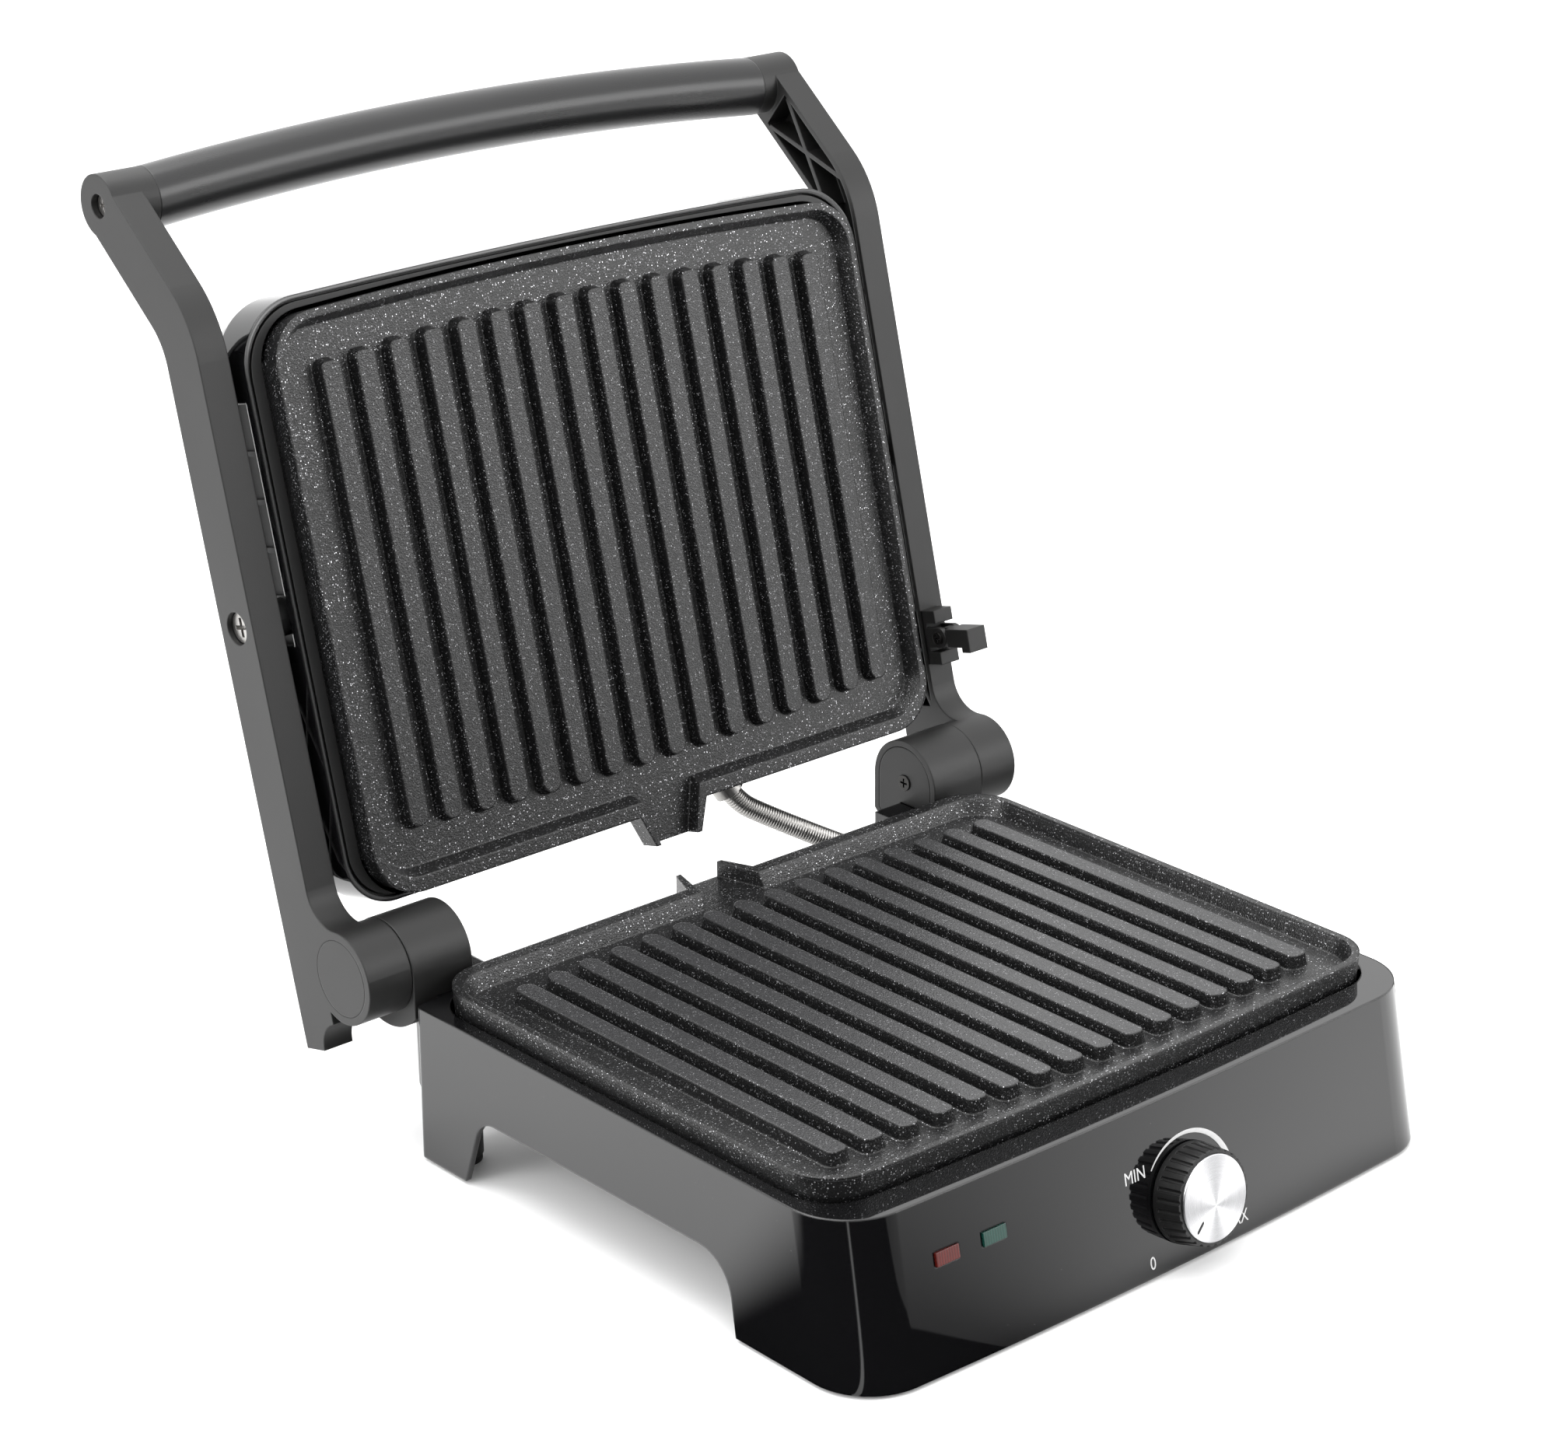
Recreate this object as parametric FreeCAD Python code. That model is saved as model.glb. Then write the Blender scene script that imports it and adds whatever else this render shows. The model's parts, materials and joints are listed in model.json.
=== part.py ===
import FreeCAD, Part
import math
import os

# Contact grill (panini press) with two ribbed plates, in millimetres.
# X is the width (+X is the right-hand side seen from the front), -Y is the front, +Z is up.
# The base is drawn with its plate centred on Y = 0 and its feet on Z = 0.  Everything on the lid is
# drawn closed, then swung open about the hinge axis.  At the end the whole grill slides along Y, so
# that the origin is the middle of its footprint.

V = FreeCAD.Vector
X_AXIS = V(1, 0, 0)
Y_AXIS = V(0, 1, 0)
Z_AXIS = V(0, 0, 1)

# ---------------------------------------------------------------- driving dimensions: plates
plate_width = 290.0
plate_depth = 226.3            # at the corners; the front edge bows further out
plate_bow = 4.3
plate_corner_radius = 20.0
plate_height = 14.0
plate_draft = 0.8
plate_floor = 4.0              # casting thickness under the ribs
plate_skirt = 5.0              # thickness of the outer wall below the floor
rim_width_side = 2.8
rim_width_front = 3.0
rim_width_rear = 6.0
rim_slope_run = 3.0
well_depth = 6.6
rib_count = 16
rib_side_margin = 24.25        # outer ribs' middle lines from the plate's sides
rib_top_width = 8.4
rib_draft_run = 1.3
rib_height = 5.5
rib_front_radius = 2.6
rib_front_margin = 21.5        # from the plate's front edge, at the sides
rib_front_bow = 7.4
rib_rear_margin = 20.4         # from the plate's rear edge, at the middle
rib_rear_bow = 6.4
spout_length = 13.5
spout_root_half = 18.5
spout_tip_half = 12.0
spout_wall = 2.6
spout_floor = 2.6
plate_screw_side_margin = 33.0
plate_screw_end_margin = 41.15
plate_screw_radius = 2.0
plate_boss_radius = 5.0

# ---------------------------------------------------------------- driving dimensions: base
base_side_margin = 7.0         # bezel beside the plate
base_side_flare = 1.0
base_front_margin = 14.45      # bezel in front of the plate
base_front_flare = 13.4        # lean of the front panel
base_rear_margin = 1.35
base_bow_top = 3.2
base_bow_bottom = 4.3
base_front_radius = 26.0
base_rear_radius = 3.0
base_height = 65.5
base_wall = 2.5
plate_stand = 9.0              # how far a plate's rim stands out of its housing
plate_gap = 1.0                # all round a plate, in its housing's opening
ground_gap = 1.5               # housing walls end this far above the ground
arch_top = 31.5
arch_front_leg = 57.4          # length of the front leg's foot behind the bezel's front edge
arch_front_slope = 5.5
arch_rear_leg = 28.5
arch_rear_slope = 11.0
arch_front_radius = 18.0
arch_rear_radius = 12.0
rear_body_inset = 12.0         # hinge supports inside the bezel's sides
rear_body_past_hinge = 2.45
rear_body_bottom = 20.5
rear_body_radius = 9.0
rear_support_width = 32.0
rear_bay_margin = 6.35         # rear wall of the bay behind the plate's edge
cover_thickness = 1.2
cover_rear_margin = 13.5
tray_thickness = 2.5
cover_gap = 0.3
foot_radius = 7.5
foot_height = 3.0
foot_stem_radius = 3.0
foot_stem_height = 7.0
foot_front_side_margin = 26.0
foot_front_end_margin = 19.9
foot_rear_side_margin = 11.5
foot_rear_end_margin = 11.0
foot_post_radius = 8.0

# ---------------------------------------------------------------- driving dimensions: hinge
hinge_setback = 22.2           # hinge axis behind the plates' rear edge
hinge_height = 75.5
tower_radius = 19.0
tower_foot_height = 50.1       # lowest point of the rounded foot above the ground
tower_side_margin = 29.0       # inner face inside the bezel's side
tower_width = 27.8
tower_cover_inset = 2.8
tower_cover_thickness = 1.6
tower_cover_gap = 0.2
tower_screw_radius = 1.6
tower_screw_head_radius = 3.4
tower_screw_head_height = 1.4
hinge_pin_radius = 6.0
hinge_pin_length = 38.0
hinge_running_gap = 0.05
hinge_face_gap = 0.4

# ---------------------------------------------------------------- driving dimensions: lid
open_angle = 104.0
closed_gap = 1.9               # between the two rims when the lid is down
arm_standoff = 7.0             # hub between tower and arm
arm_thickness = 13.2
arm_width = 22.4
arm_past_plate = 23.6          # bend of the arm past the plates' depth
arm_tail = 31.3
arm_rise = 62.0                # bend to the handle's axis
arm_rise_angle = 37.0
arm_bend_outer_radius = 48.0
arm_bend_inner_radius = 26.0
arm_boss_radius = 18.8
arm_boss_fillet = 15.0
arm_wall = 2.3
arm_web = 2.6                  # outer skin behind the pocket
arm_rib = 1.8
arm_rib_cell = 46.0
arm_tail_bite = 11.8
hinge_cap_radius = 15.4
hinge_cap_thickness = 2.0
hinge_cap_gap = 0.15
handle_radius = 12.2
handle_wall = 1.6
handle_bow = 8.0
handle_plug_length = 24.0
handle_screw_radius = 2.5
handle_screw_recess_radius = 4.7
handle_screw_recess_depth = 5.0
handle_screw_length = 26.0
float_offset = 1.55            # floating pivots in front of the plates' middle
float_height = 13.5            # floating pivots above the upper housing's edge
float_screw_radius = 4.0
float_screw_recess_radius = 6.5
float_screw_recess_depth = 5.5
float_running_gap = 0.05
float_pad_radius = 10.0
float_boss_radius = 7.4
float_side_gap = 0.5
screw_head_gap = 0.4

# ---------------------------------------------------------------- driving dimensions: upper housing
upper_side_margin = 8.4        # past the plate's sides
upper_front_margin = 4.75
upper_bow = 2.6
upper_front_radius = 27.0
upper_rear_radius = 20.0
upper_rear_gap = 1.2           # to the hinge towers
upper_wall = 1.8
upper_side_height = 19.0
upper_dome_height = 26.0
upper_dome_inset = 45.0
upper_dome_steps = 6
upper_groove = 0.8
upper_bezel_lip = 2.0          # the bezel's upper part, wide enough to touch the housing
recess_front_margin = 29.15    # from the plate's front corners
recess_past_pivot = 10.55
recess_bottom_gap = 4.0
recess_height = 21.0
rail_thickness = 4.0
rail_inset = 6.0
rail_rib_count = 4
rail_rib_thickness = 2.0
rail_rib_gap = 2.2             # between the ribs and the housing's inner wall

# ---------------------------------------------------------------- driving dimensions: controls
knob_x = 10.5
knob_z = 27.0
knob_radius = 19.5
knob_top_radius = 18.2
knob_height = 12.0
knob_gap = 0.8
knob_groove_count = 30
knob_groove_radius = 0.9
knob_cap_radius = 16.6
knob_cap_thickness = 1.6
knob_cap_recess = 0.6
shaft_radius = 3.0
shaft_reach = 9.8              # how far the shaft stands out of the panel
shaft_running_gap = 0.05
bushing_radius = 5.0
bushing_gap = 0.2
thermostat_width = 34.0
thermostat_height = 28.0
thermostat_depth = 18.0
lamp_width = 11.0
lamp_height = 5.3
lamp_z = 43.3
lamp_red_x = -107.5
lamp_green_x = -85.3
lamp_proud = 0.8
lamp_depth = 8.0
lamp_holder_depth = 12.0

# ---------------------------------------------------------------- driving dimensions: heating and wiring
element_radius = 3.25
element_side_margin = 42.5
element_end_margin = 41.15
element_bend_radius = 22.0
element_tail = 14.0
reflector_side_margin = 13.0
reflector_end_margin = 15.15
reflector_depth = 9.0
reflector_sheet = 0.8
reflector_flange = 3.0         # past the plate's sides, under the bezel
terminal_width = 46.0
terminal_depth = 14.0
terminal_height = 12.0
terminal_rear_margin = 18.5
conduit_radius = 4.6
ferrule_radius = 6.6
ferrule_length = 5.0
conduit_exit_x = 43.0
conduit_exit_height = 12.0
conduit_out = V(0.42, 0.9, -0.12).normalize()    # way out of the closed lid
inlet_x = 62.0
inlet_z = 40.0
inlet_radius = 9.0
inlet_bore = 4.0
inlet_length = 15.0

# ---------------------------------------------------------------- driving dimensions: lid latch
latch_along = 55.5             # hinge axis to the latch's pivot, along the arm
latch_block_length = 24.0
latch_block_width = 10.4
latch_block_depth = 8.6
latch_pivot_drop = 9.2         # pivot below the arm's underside, lid closed
latch_cheek_radius = 4.6
latch_cheek = 2.2
latch_lever_length = 19.0
latch_lever_height = 8.0
latch_tip_height = 10.2
latch_tip_length = 5.0
latch_pin_radius = 1.6
latch_gap = 0.35

# ---------------------------------------------------------------- places worked out from them
plate_half = plate_width / 2
plate_rear = plate_depth / 2
plate_front = -plate_depth / 2
rib_pitch = (plate_width - 2 * rib_side_margin) / (rib_count - 1)
plate_screw_x = plate_half - plate_screw_side_margin
plate_screw_y = plate_rear - plate_screw_end_margin
element_half_width = plate_half - element_side_margin
element_half_depth = plate_rear - element_end_margin
reflector_half_width = plate_half - reflector_side_margin
reflector_half_depth = plate_rear - reflector_end_margin
lower_rim = base_height + plate_stand
hinge_y = plate_rear + hinge_setback
hinge_z = hinge_height
base_half_width_top = plate_half + base_side_margin
base_half_width_bottom = base_half_width_top + base_side_flare
base_front_top = plate_rear + plate_bow + base_front_margin
base_front_bottom = base_front_top + base_front_flare
base_rear = plate_rear + base_rear_margin
arch_front_foot = arch_front_leg - base_front_top
arch_front_top = arch_front_foot + arch_front_slope
arch_rear_foot = base_rear - arch_rear_leg
arch_rear_top = arch_rear_foot - arch_rear_slope
rear_body_half = base_half_width_top - rear_body_inset
rear_body_back = hinge_y + rear_body_past_hinge
rear_bay_half = rear_body_half - rear_support_width
rear_bay_back = plate_rear + rear_bay_margin
cover_rear = base_rear - cover_rear_margin
foot_front_x = base_half_width_top - foot_front_side_margin
foot_front_y = foot_front_end_margin - base_front_top
foot_rear_x = base_half_width_top - foot_rear_side_margin
foot_rear_y = base_rear - foot_rear_end_margin
terminal_rear = base_rear - terminal_rear_margin
tower_foot_radius = hinge_height - tower_foot_height
tower_inner = base_half_width_top - tower_side_margin
tower_outer = tower_inner + tower_width
arm_inner = tower_outer + arm_standoff
arm_outer = arm_inner + arm_thickness
upper_half_width = plate_half + upper_side_margin
upper_front = plate_rear + plate_bow + upper_front_margin
hinge_point = V(0, hinge_y, hinge_z)
upper_rim = lower_rim + closed_gap
upper_face = upper_rim + plate_stand
upper_rear = hinge_y - tower_radius - upper_rear_gap
float_y = -float_offset
float_z = upper_face + float_height
arm_height = float_z - hinge_z
arm_reach = plate_depth + arm_past_plate
recess_front = plate_front + recess_front_margin
recess_rear = float_y + recess_past_pivot
arm_low = hinge_z + arm_height - arm_width / 2
rise = math.radians(arm_rise_angle)
bend_y = hinge_y - arm_reach
handle_y = bend_y - arm_rise * math.cos(rise)
handle_z = hinge_z + arm_height + arm_rise * math.sin(rise)
boss_inner = tower_outer + hinge_face_gap
lean = math.atan2(base_front_bottom - base_front_top, base_height)
panel_normal = V(0, -math.cos(lean), math.sin(lean))

nodes = {}


# ---------------------------------------------------------------- shape helpers
def box(x0, x1, y0, y1, z0, z1):
    """Box between two corners."""
    return Part.makeBox(x1 - x0, y1 - y0, z1 - z0, V(x0, y0, z0))


def rod(radius, start, end):
    """Round bar from one point to another."""
    return Part.makeCylinder(radius, (end - start).Length, start, end - start)


def both_sides(make):
    """The left and right solids of a piece that make(side) draws for side -1 and +1."""
    return [make(-1), make(1)]


def span(side, near, far):
    """X limits, low first, of a piece between two distances from the middle."""
    return sorted((side * near, side * far))


def bowed_outline(half, front, rear, bow, front_radius, rear_radius, z):
    """Closed outline whose front edge bows forward, with tangent corner arcs."""
    circle = (half ** 2 + bow ** 2) / (2 * bow)
    centre_y = front - bow + circle
    corner_x = half - front_radius
    corner_y = centre_y - math.sqrt((circle - front_radius) ** 2 - corner_x ** 2)
    stretch = circle / (circle - front_radius)
    touch_x = corner_x * stretch
    touch_y = centre_y + (corner_y - centre_y) * stretch
    turn = math.atan2(corner_y - centre_y, corner_x) / 2
    mid_x = corner_x + front_radius * math.cos(turn)
    mid_y = corner_y + front_radius * math.sin(turn)
    back_x = half - rear_radius
    back_y = rear - rear_radius
    diagonal = rear_radius * math.sqrt(0.5)
    edges = [
        Part.makeLine(V(half, back_y, z), V(half, corner_y, z)),
        Part.Arc(V(half, corner_y, z), V(mid_x, mid_y, z), V(touch_x, touch_y, z)).toShape(),
        Part.Arc(V(touch_x, touch_y, z), V(0, front - bow, z), V(-touch_x, touch_y, z)).toShape(),
        Part.Arc(V(-touch_x, touch_y, z), V(-mid_x, mid_y, z), V(-half, corner_y, z)).toShape(),
        Part.makeLine(V(-half, corner_y, z), V(-half, back_y, z)),
        Part.Arc(V(-half, back_y, z), V(-back_x - diagonal, back_y + diagonal, z),
                 V(-back_x, rear, z)).toShape(),
        Part.makeLine(V(-back_x, rear, z), V(back_x, rear, z)),
        Part.Arc(V(back_x, rear, z), V(back_x + diagonal, back_y + diagonal, z),
                 V(half, back_y, z)).toShape(),
    ]
    return Part.Wire(edges)


def plate_outline(outset, z, front_extra=0.0, rear_extra=0.0):
    """Outline of a plate, grown by outset, and further at the front and rear."""
    radius = plate_corner_radius + outset
    return bowed_outline(plate_half + outset, plate_front - outset - front_extra,
                         plate_rear + outset + rear_extra, plate_bow, radius, radius, z)


def base_outline(inset, z):
    """Outline of the base housing at a height, shrunk by inset."""
    share = z / base_height
    half = base_half_width_bottom + (base_half_width_top - base_half_width_bottom) * share
    bow = base_bow_bottom + (base_bow_top - base_bow_bottom) * share
    front = base_front_bottom + (base_front_top - base_front_bottom) * share
    return bowed_outline(half - inset, bow - front + inset, base_rear - inset, bow,
                         base_front_radius - inset, max(base_rear_radius - inset, 0.5), z)


def loft(wires):
    """Solid with straight walls from each outline to the next."""
    return Part.makeLoft(wires, True, True)


def prism(points, x0, x1):
    """Polygon given as (y, z) points, stretched from x0 to x1."""
    corners = [V(x0, y, z) for y, z in points]
    face = Part.Face(Part.makePolygon(corners + corners[:1]))
    return face.extrude(V(x1 - x0, 0, 0))


def edges_near(shape, y, z, reach=0.05):
    """Edges that run along X through one (y, z) point."""
    found = []
    for edge in shape.Edges:
        ends = [vertex.Point for vertex in edge.Vertexes]
        if len(ends) == 2 and abs(ends[0].x - ends[1].x) > reach:
            if all(math.hypot(end.y - y, end.z - z) < reach for end in ends):
                found.append(edge)
    return found


def panel_point(x, z, out=0.0):
    """Point on the bowed, leaning front panel, moved outwards along the panel's normal."""
    share = z / base_height
    bow = base_bow_bottom + (base_bow_top - base_bow_bottom) * share
    front = base_front_bottom + (base_front_top - base_front_bottom) * share
    surface = V(x, bow * (x / base_half_width_top) ** 2 - front, z)
    return surface + panel_normal * out


def on_panel(shape, x, z, out=0.0):
    """Turn a shape drawn round Z so that Z is the panel's normal, and move it onto the panel."""
    shape = shape.copy()
    shape.rotate(V(0, 0, 0), X_AXIS, 90 - math.degrees(lean))
    shape.translate(panel_point(x, z, out))
    return shape


def swing_open(shape):
    """Turn a piece of the closed lid to the open rest position."""
    turned = shape.copy()
    turned.rotate(hinge_point, X_AXIS, -open_angle)
    return turned


def keep(name, shape):
    """Put a finished node, or a group of separate solids, in the list to export."""
    if isinstance(shape, list):
        shape = Part.makeCompound(shape)
    nodes[name] = shape


# ---------------------------------------------------------------- grill plates
def rib(x, front, rear, z0, z1):
    """One drafted rib: square-ended with rounded corners in front, round at the rear."""
    def outline(half, grow, z):
        radius = rib_front_radius + grow
        diagonal = radius * (1 - math.sqrt(0.5))
        near = front - grow
        far = rear + grow - half
        edges = [
            Part.makeLine(V(x + half, far, z), V(x + half, near + radius, z)),
            Part.Arc(V(x + half, near + radius, z), V(x + half - diagonal, near + diagonal, z),
                     V(x + half - radius, near, z)).toShape(),
            Part.makeLine(V(x + half - radius, near, z), V(x - half + radius, near, z)),
            Part.Arc(V(x - half + radius, near, z), V(x - half + diagonal, near + diagonal, z),
                     V(x - half, near + radius, z)).toShape(),
            Part.makeLine(V(x - half, near + radius, z), V(x - half, far, z)),
            Part.Arc(V(x - half, far, z), V(x, rear + grow, z), V(x + half, far, z)).toShape(),
        ]
        return Part.Wire(edges)
    half = rib_top_width / 2
    return loft([outline(half + rib_draft_run, rib_draft_run, z0), outline(half, 0.0, z1)])


def grill_plate(rim_z):
    """Cast plate with its rim up at rim_z: sloped well, ribs, drain spout and hollow underside."""
    bottom = rim_z - plate_height
    floor = rim_z - well_depth
    body = loft([plate_outline(-plate_draft, bottom), plate_outline(0.0, rim_z)])
    front_in = rim_width_front - rim_width_side
    rear_in = rim_width_rear - rim_width_side
    well_top = plate_outline(-rim_width_side, rim_z, -front_in, -rear_in)
    well_low = plate_outline(-rim_width_side - rim_slope_run, floor, -front_in, -rear_in)
    body = body.cut(loft([well_low, well_top]))
    under = floor - plate_floor
    body = body.cut(loft([plate_outline(-plate_skirt - plate_draft, bottom),
                          plate_outline(-plate_skirt - plate_draft, under)]))
    channel_half = spout_root_half - spout_wall
    tip_half = spout_tip_half - spout_wall
    beyond = plate_rear + spout_length
    lip = [V(-spout_root_half, plate_rear - spout_wall, floor - spout_floor),
           V(-spout_tip_half, beyond, floor - spout_floor),
           V(spout_tip_half, beyond, floor - spout_floor),
           V(spout_root_half, plate_rear - spout_wall, floor - spout_floor)]
    spout = Part.Face(Part.makePolygon(lip + lip[:1])).extrude(V(0, 0, well_depth + spout_floor))
    inside = plate_rear - rim_width_rear - rim_slope_run
    gutter = [V(-channel_half, inside, floor), V(-tip_half, beyond + 1, floor),
              V(tip_half, beyond + 1, floor), V(channel_half, inside, floor)]
    channel = Part.Face(Part.makePolygon(gutter + gutter[:1])).extrude(V(0, 0, well_depth + 1))
    body = body.fuse(spout).cut(channel)
    ribs = []
    for number in range(rib_count):
        x = (number - (rib_count - 1) / 2) * rib_pitch
        share = (x / plate_half) ** 2
        front = plate_front + rib_front_margin - rib_front_bow * (1 - share)
        rear = plate_rear - rib_rear_margin - rib_rear_bow * share
        ribs.append(rib(x, front, rear, floor - 0.5, floor + rib_height))
    bosses = []
    for x, y in screw_places():
        bosses.append(rod(plate_boss_radius, V(x, y, bottom + 1), V(x, y, under + 0.5)))
    body = body.multiFuse(ribs + bosses).removeSplitter()
    for x, y in screw_places():
        body = body.cut(rod(plate_screw_radius, V(x, y, bottom), V(x, y, under)))
    return body


def screw_places():
    """Middles of the four screws that hold a plate."""
    return [(sx * plate_screw_x, sy * plate_screw_y) for sx in (-1, 1) for sy in (-1, 1)]


def turn_over(shape, rim_z):
    """A lower piece turned over about the width-middle line, so that it faces down at rim_z."""
    turned = shape.copy()
    turned.rotate(V(0, 0, lower_rim), Y_AXIS, 180)
    turned.translate(V(0, 0, rim_z - lower_rim))
    return turned


def plate_screws():
    """Four pan-head screws from the reflector up into the plate's bosses."""
    head_z = lower_rim - plate_height - reflector_depth - reflector_sheet
    top = lower_rim - well_depth - plate_floor
    screws = []
    for x, y in screw_places():
        shank = rod(plate_screw_radius, V(x, y, head_z), V(x, y, top))
        head = rod(plate_screw_radius * 2, V(x, y, head_z - 2.4), V(x, y, head_z))
        screws.append(shank.fuse(head).removeSplitter())
    return screws


def heating_element():
    """Tubular element: a U of rod under the plate, both ends turned down at the rear."""
    z = lower_rim - well_depth - plate_floor - element_radius
    half, near, far = element_half_width, -element_half_depth, element_half_depth
    r = element_bend_radius
    bend = r * (1 - math.sqrt(0.5))
    path = Part.Wire([
        Part.makeLine(V(-half, far, z), V(-half, near + r, z)),
        Part.Arc(V(-half, near + r, z), V(-half + bend, near + bend, z), V(-half + r, near, z)).toShape(),
        Part.makeLine(V(-half + r, near, z), V(half - r, near, z)),
        Part.Arc(V(half - r, near, z), V(half - bend, near + bend, z), V(half, near + r, z)).toShape(),
        Part.makeLine(V(half, near + r, z), V(half, far, z)),
    ])
    section = Part.Wire(Part.makeCircle(element_radius, V(-half, far, z), Y_AXIS))
    tube = path.makePipeShell([section], True, False)
    pins = both_sides(lambda side: rod(element_radius / 2, V(side * half, far, z),
                                       V(side * half, far + element_tail, z)))
    return tube.multiFuse(pins)


def reflector(lip):
    """Sheet-metal tray under the element: a flange that the plate sits on, lips turned up at its sides."""
    top = lower_rim - plate_height
    low = top - reflector_depth - reflector_sheet
    x, y, t = reflector_half_width, reflector_half_depth, reflector_sheet
    reach = plate_half + reflector_flange
    tray = box(-x, x, -y, y, low, top).fuse(box(-reach, reach, -y, y, top - t, top))
    if lip > 0:
        tray = tray.multiFuse([box(-reach, -reach + t, -y, y, top - t, top + lip),
                               box(reach - t, reach, -y, y, top - t, top + lip)])
    tray = tray.removeSplitter().cut(box(-x + t, x - t, -y + t, y - t, low + t, top))
    for sx, sy in screw_places():
        tray = tray.cut(rod(plate_screw_radius + screw_head_gap / 2, V(sx, sy, low), V(sx, sy, top)))
    return tray


# ---------------------------------------------------------------- base
def rear_body(inset):
    """Rear wall and the two hinge supports that stand behind it, shrunk by inset."""
    half = rear_body_half - inset
    back = rear_body_back - inset
    low = rear_body_bottom + inset
    block = box(-half, half, plate_rear - 15, back, low, base_height - inset)
    radius = rear_body_radius - inset
    corners = [e for e in block.Edges if abs(e.CenterOfMass.y - back) < 0.01
               and abs(e.CenterOfMass.z - base_height + inset) > 1]
    block = block.makeFillet(radius, corners)
    bay = rear_bay_half + inset
    return block.cut(box(-bay, bay, rear_bay_back - inset, rear_body_back + 1, 0, base_height + 1))


def arch_cutter():
    """The arch between the front and rear legs, right through the base."""
    half = base_half_width_bottom + 1
    points = [(arch_front_foot, -1), (arch_front_top, arch_top), (arch_rear_top, arch_top),
              (arch_rear_foot, -1)]
    cutter = prism(points, -half, half)
    cutter = cutter.makeFillet(arch_front_radius, edges_near(cutter, arch_front_top, arch_top))
    return cutter.makeFillet(arch_rear_radius, edges_near(cutter, arch_rear_top, arch_top))


def base_housing():
    """Glossy one-piece housing: bezel, leaning front panel, arched sides and rear body."""
    outer = loft([base_outline(0.0, ground_gap), base_outline(0.0, base_height)])
    outer = outer.fuse(rear_body(0.0))
    inner = loft([base_outline(base_wall, 0.0), base_outline(base_wall, base_height - base_wall)])
    under_rear = box(-rear_body_half + base_wall, rear_body_half - base_wall, base_rear - 2 * base_wall,
                     rear_bay_back - base_wall, -1, base_height - base_wall)
    shell = outer.cut(inner).cut(rear_body(base_wall)).cut(under_rear).cut(arch_cutter())
    opening = loft([plate_outline(plate_gap, base_height - 2 * base_wall),
                    plate_outline(plate_gap, base_height + 1)])
    spout_half = spout_root_half + plate_gap
    spout_room = box(-spout_half, spout_half, plate_rear - 1, plate_rear + spout_length + plate_gap,
                     lower_rim - well_depth - spout_floor - plate_gap, base_height + plate_stand)
    shell = shell.cut(opening).cut(spout_room)
    shell = shell.cut(on_panel(Part.makeCylinder(bushing_radius + bushing_gap, 4 * base_wall,
                                                 V(0, 0, -3 * base_wall)), knob_x, knob_z))
    for x in (lamp_red_x, lamp_green_x):
        shell = shell.cut(lamp_block(x, lamp_depth, lamp_proud, 0.1))
    gland_hole = rod(inlet_radius - 2, V(inlet_x, rear_bay_back - 2 * base_wall, inlet_z),
                     V(inlet_x, rear_bay_back + 1, inlet_z))
    shell = shell.cut(gland_hole)
    return shell.removeSplitter()


def base_cover():
    """Sheet-steel belly pan between the legs, notched round the thermostat."""
    gap = base_wall + cover_gap
    slab = loft([base_outline(gap, arch_top), base_outline(gap, arch_top + cover_thickness)])
    half = base_half_width_bottom
    slab = slab.cut(box(-half, half, cover_rear, base_rear, arch_top - 1, base_height))
    return slab.cut(thermostat_case(1.0))


def rear_tray():
    """Tray that closes the rear wall's underside, with a riser up to the belly pan."""
    half = foot_rear_x - foot_post_radius - 1
    back = rear_bay_back - base_wall - cover_gap
    low = rear_body_bottom
    tray = box(-half, half, cover_rear, back, low, low + tray_thickness)
    riser = box(-half, half, cover_rear - tray_thickness, cover_rear, low, arch_top)
    return tray.fuse(riser).removeSplitter()


def foot_post(x, y):
    """Post between a foot and the belly pan, with a hole for the foot's stem."""
    post = rod(foot_post_radius, V(x, y, foot_height), V(x, y, arch_top))
    return post.cut(rod(foot_stem_radius, V(x, y, foot_height), V(x, y, foot_height + foot_stem_height)))


def foot_places():
    """Middles of the four feet."""
    front = [(side * foot_front_x, foot_front_y) for side in (-1, 1)]
    rear = [(side * foot_rear_x, foot_rear_y) for side in (-1, 1)]
    return front + rear


def rubber_feet():
    """Four rubber feet, each a disc with a push-in stem."""
    feet = []
    for x, y in foot_places():
        disc = rod(foot_radius, V(x, y, 0), V(x, y, foot_height))
        stem = rod(foot_stem_radius, V(x, y, foot_height), V(x, y, foot_height + foot_stem_height))
        feet.append(disc.fuse(stem).removeSplitter())
    return feet


# ---------------------------------------------------------------- hinge
def tower_profile(side, inset, near, far):
    """Slab of a hinge tower between two distances from the middle, its outline shrunk by inset."""
    radius = tower_radius - inset
    foot = tower_foot_radius - inset
    drop = math.sqrt(foot ** 2 - radius ** 2)
    x0, x1 = span(side, near, far)
    wire = Part.Wire([
        Part.Arc(V(x0, hinge_y - radius, hinge_z), V(x0, hinge_y, hinge_z + radius),
                 V(x0, hinge_y + radius, hinge_z)).toShape(),
        Part.makeLine(V(x0, hinge_y + radius, hinge_z), V(x0, hinge_y + radius, hinge_z - drop)),
        Part.Arc(V(x0, hinge_y + radius, hinge_z - drop), V(x0, hinge_y, hinge_z - foot),
                 V(x0, hinge_y - radius, hinge_z - drop)).toShape(),
        Part.makeLine(V(x0, hinge_y - radius, hinge_z - drop), V(x0, hinge_y - radius, hinge_z)),
    ])
    return Part.Face(wire).extrude(V(x1 - x0, 0, 0))


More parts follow.
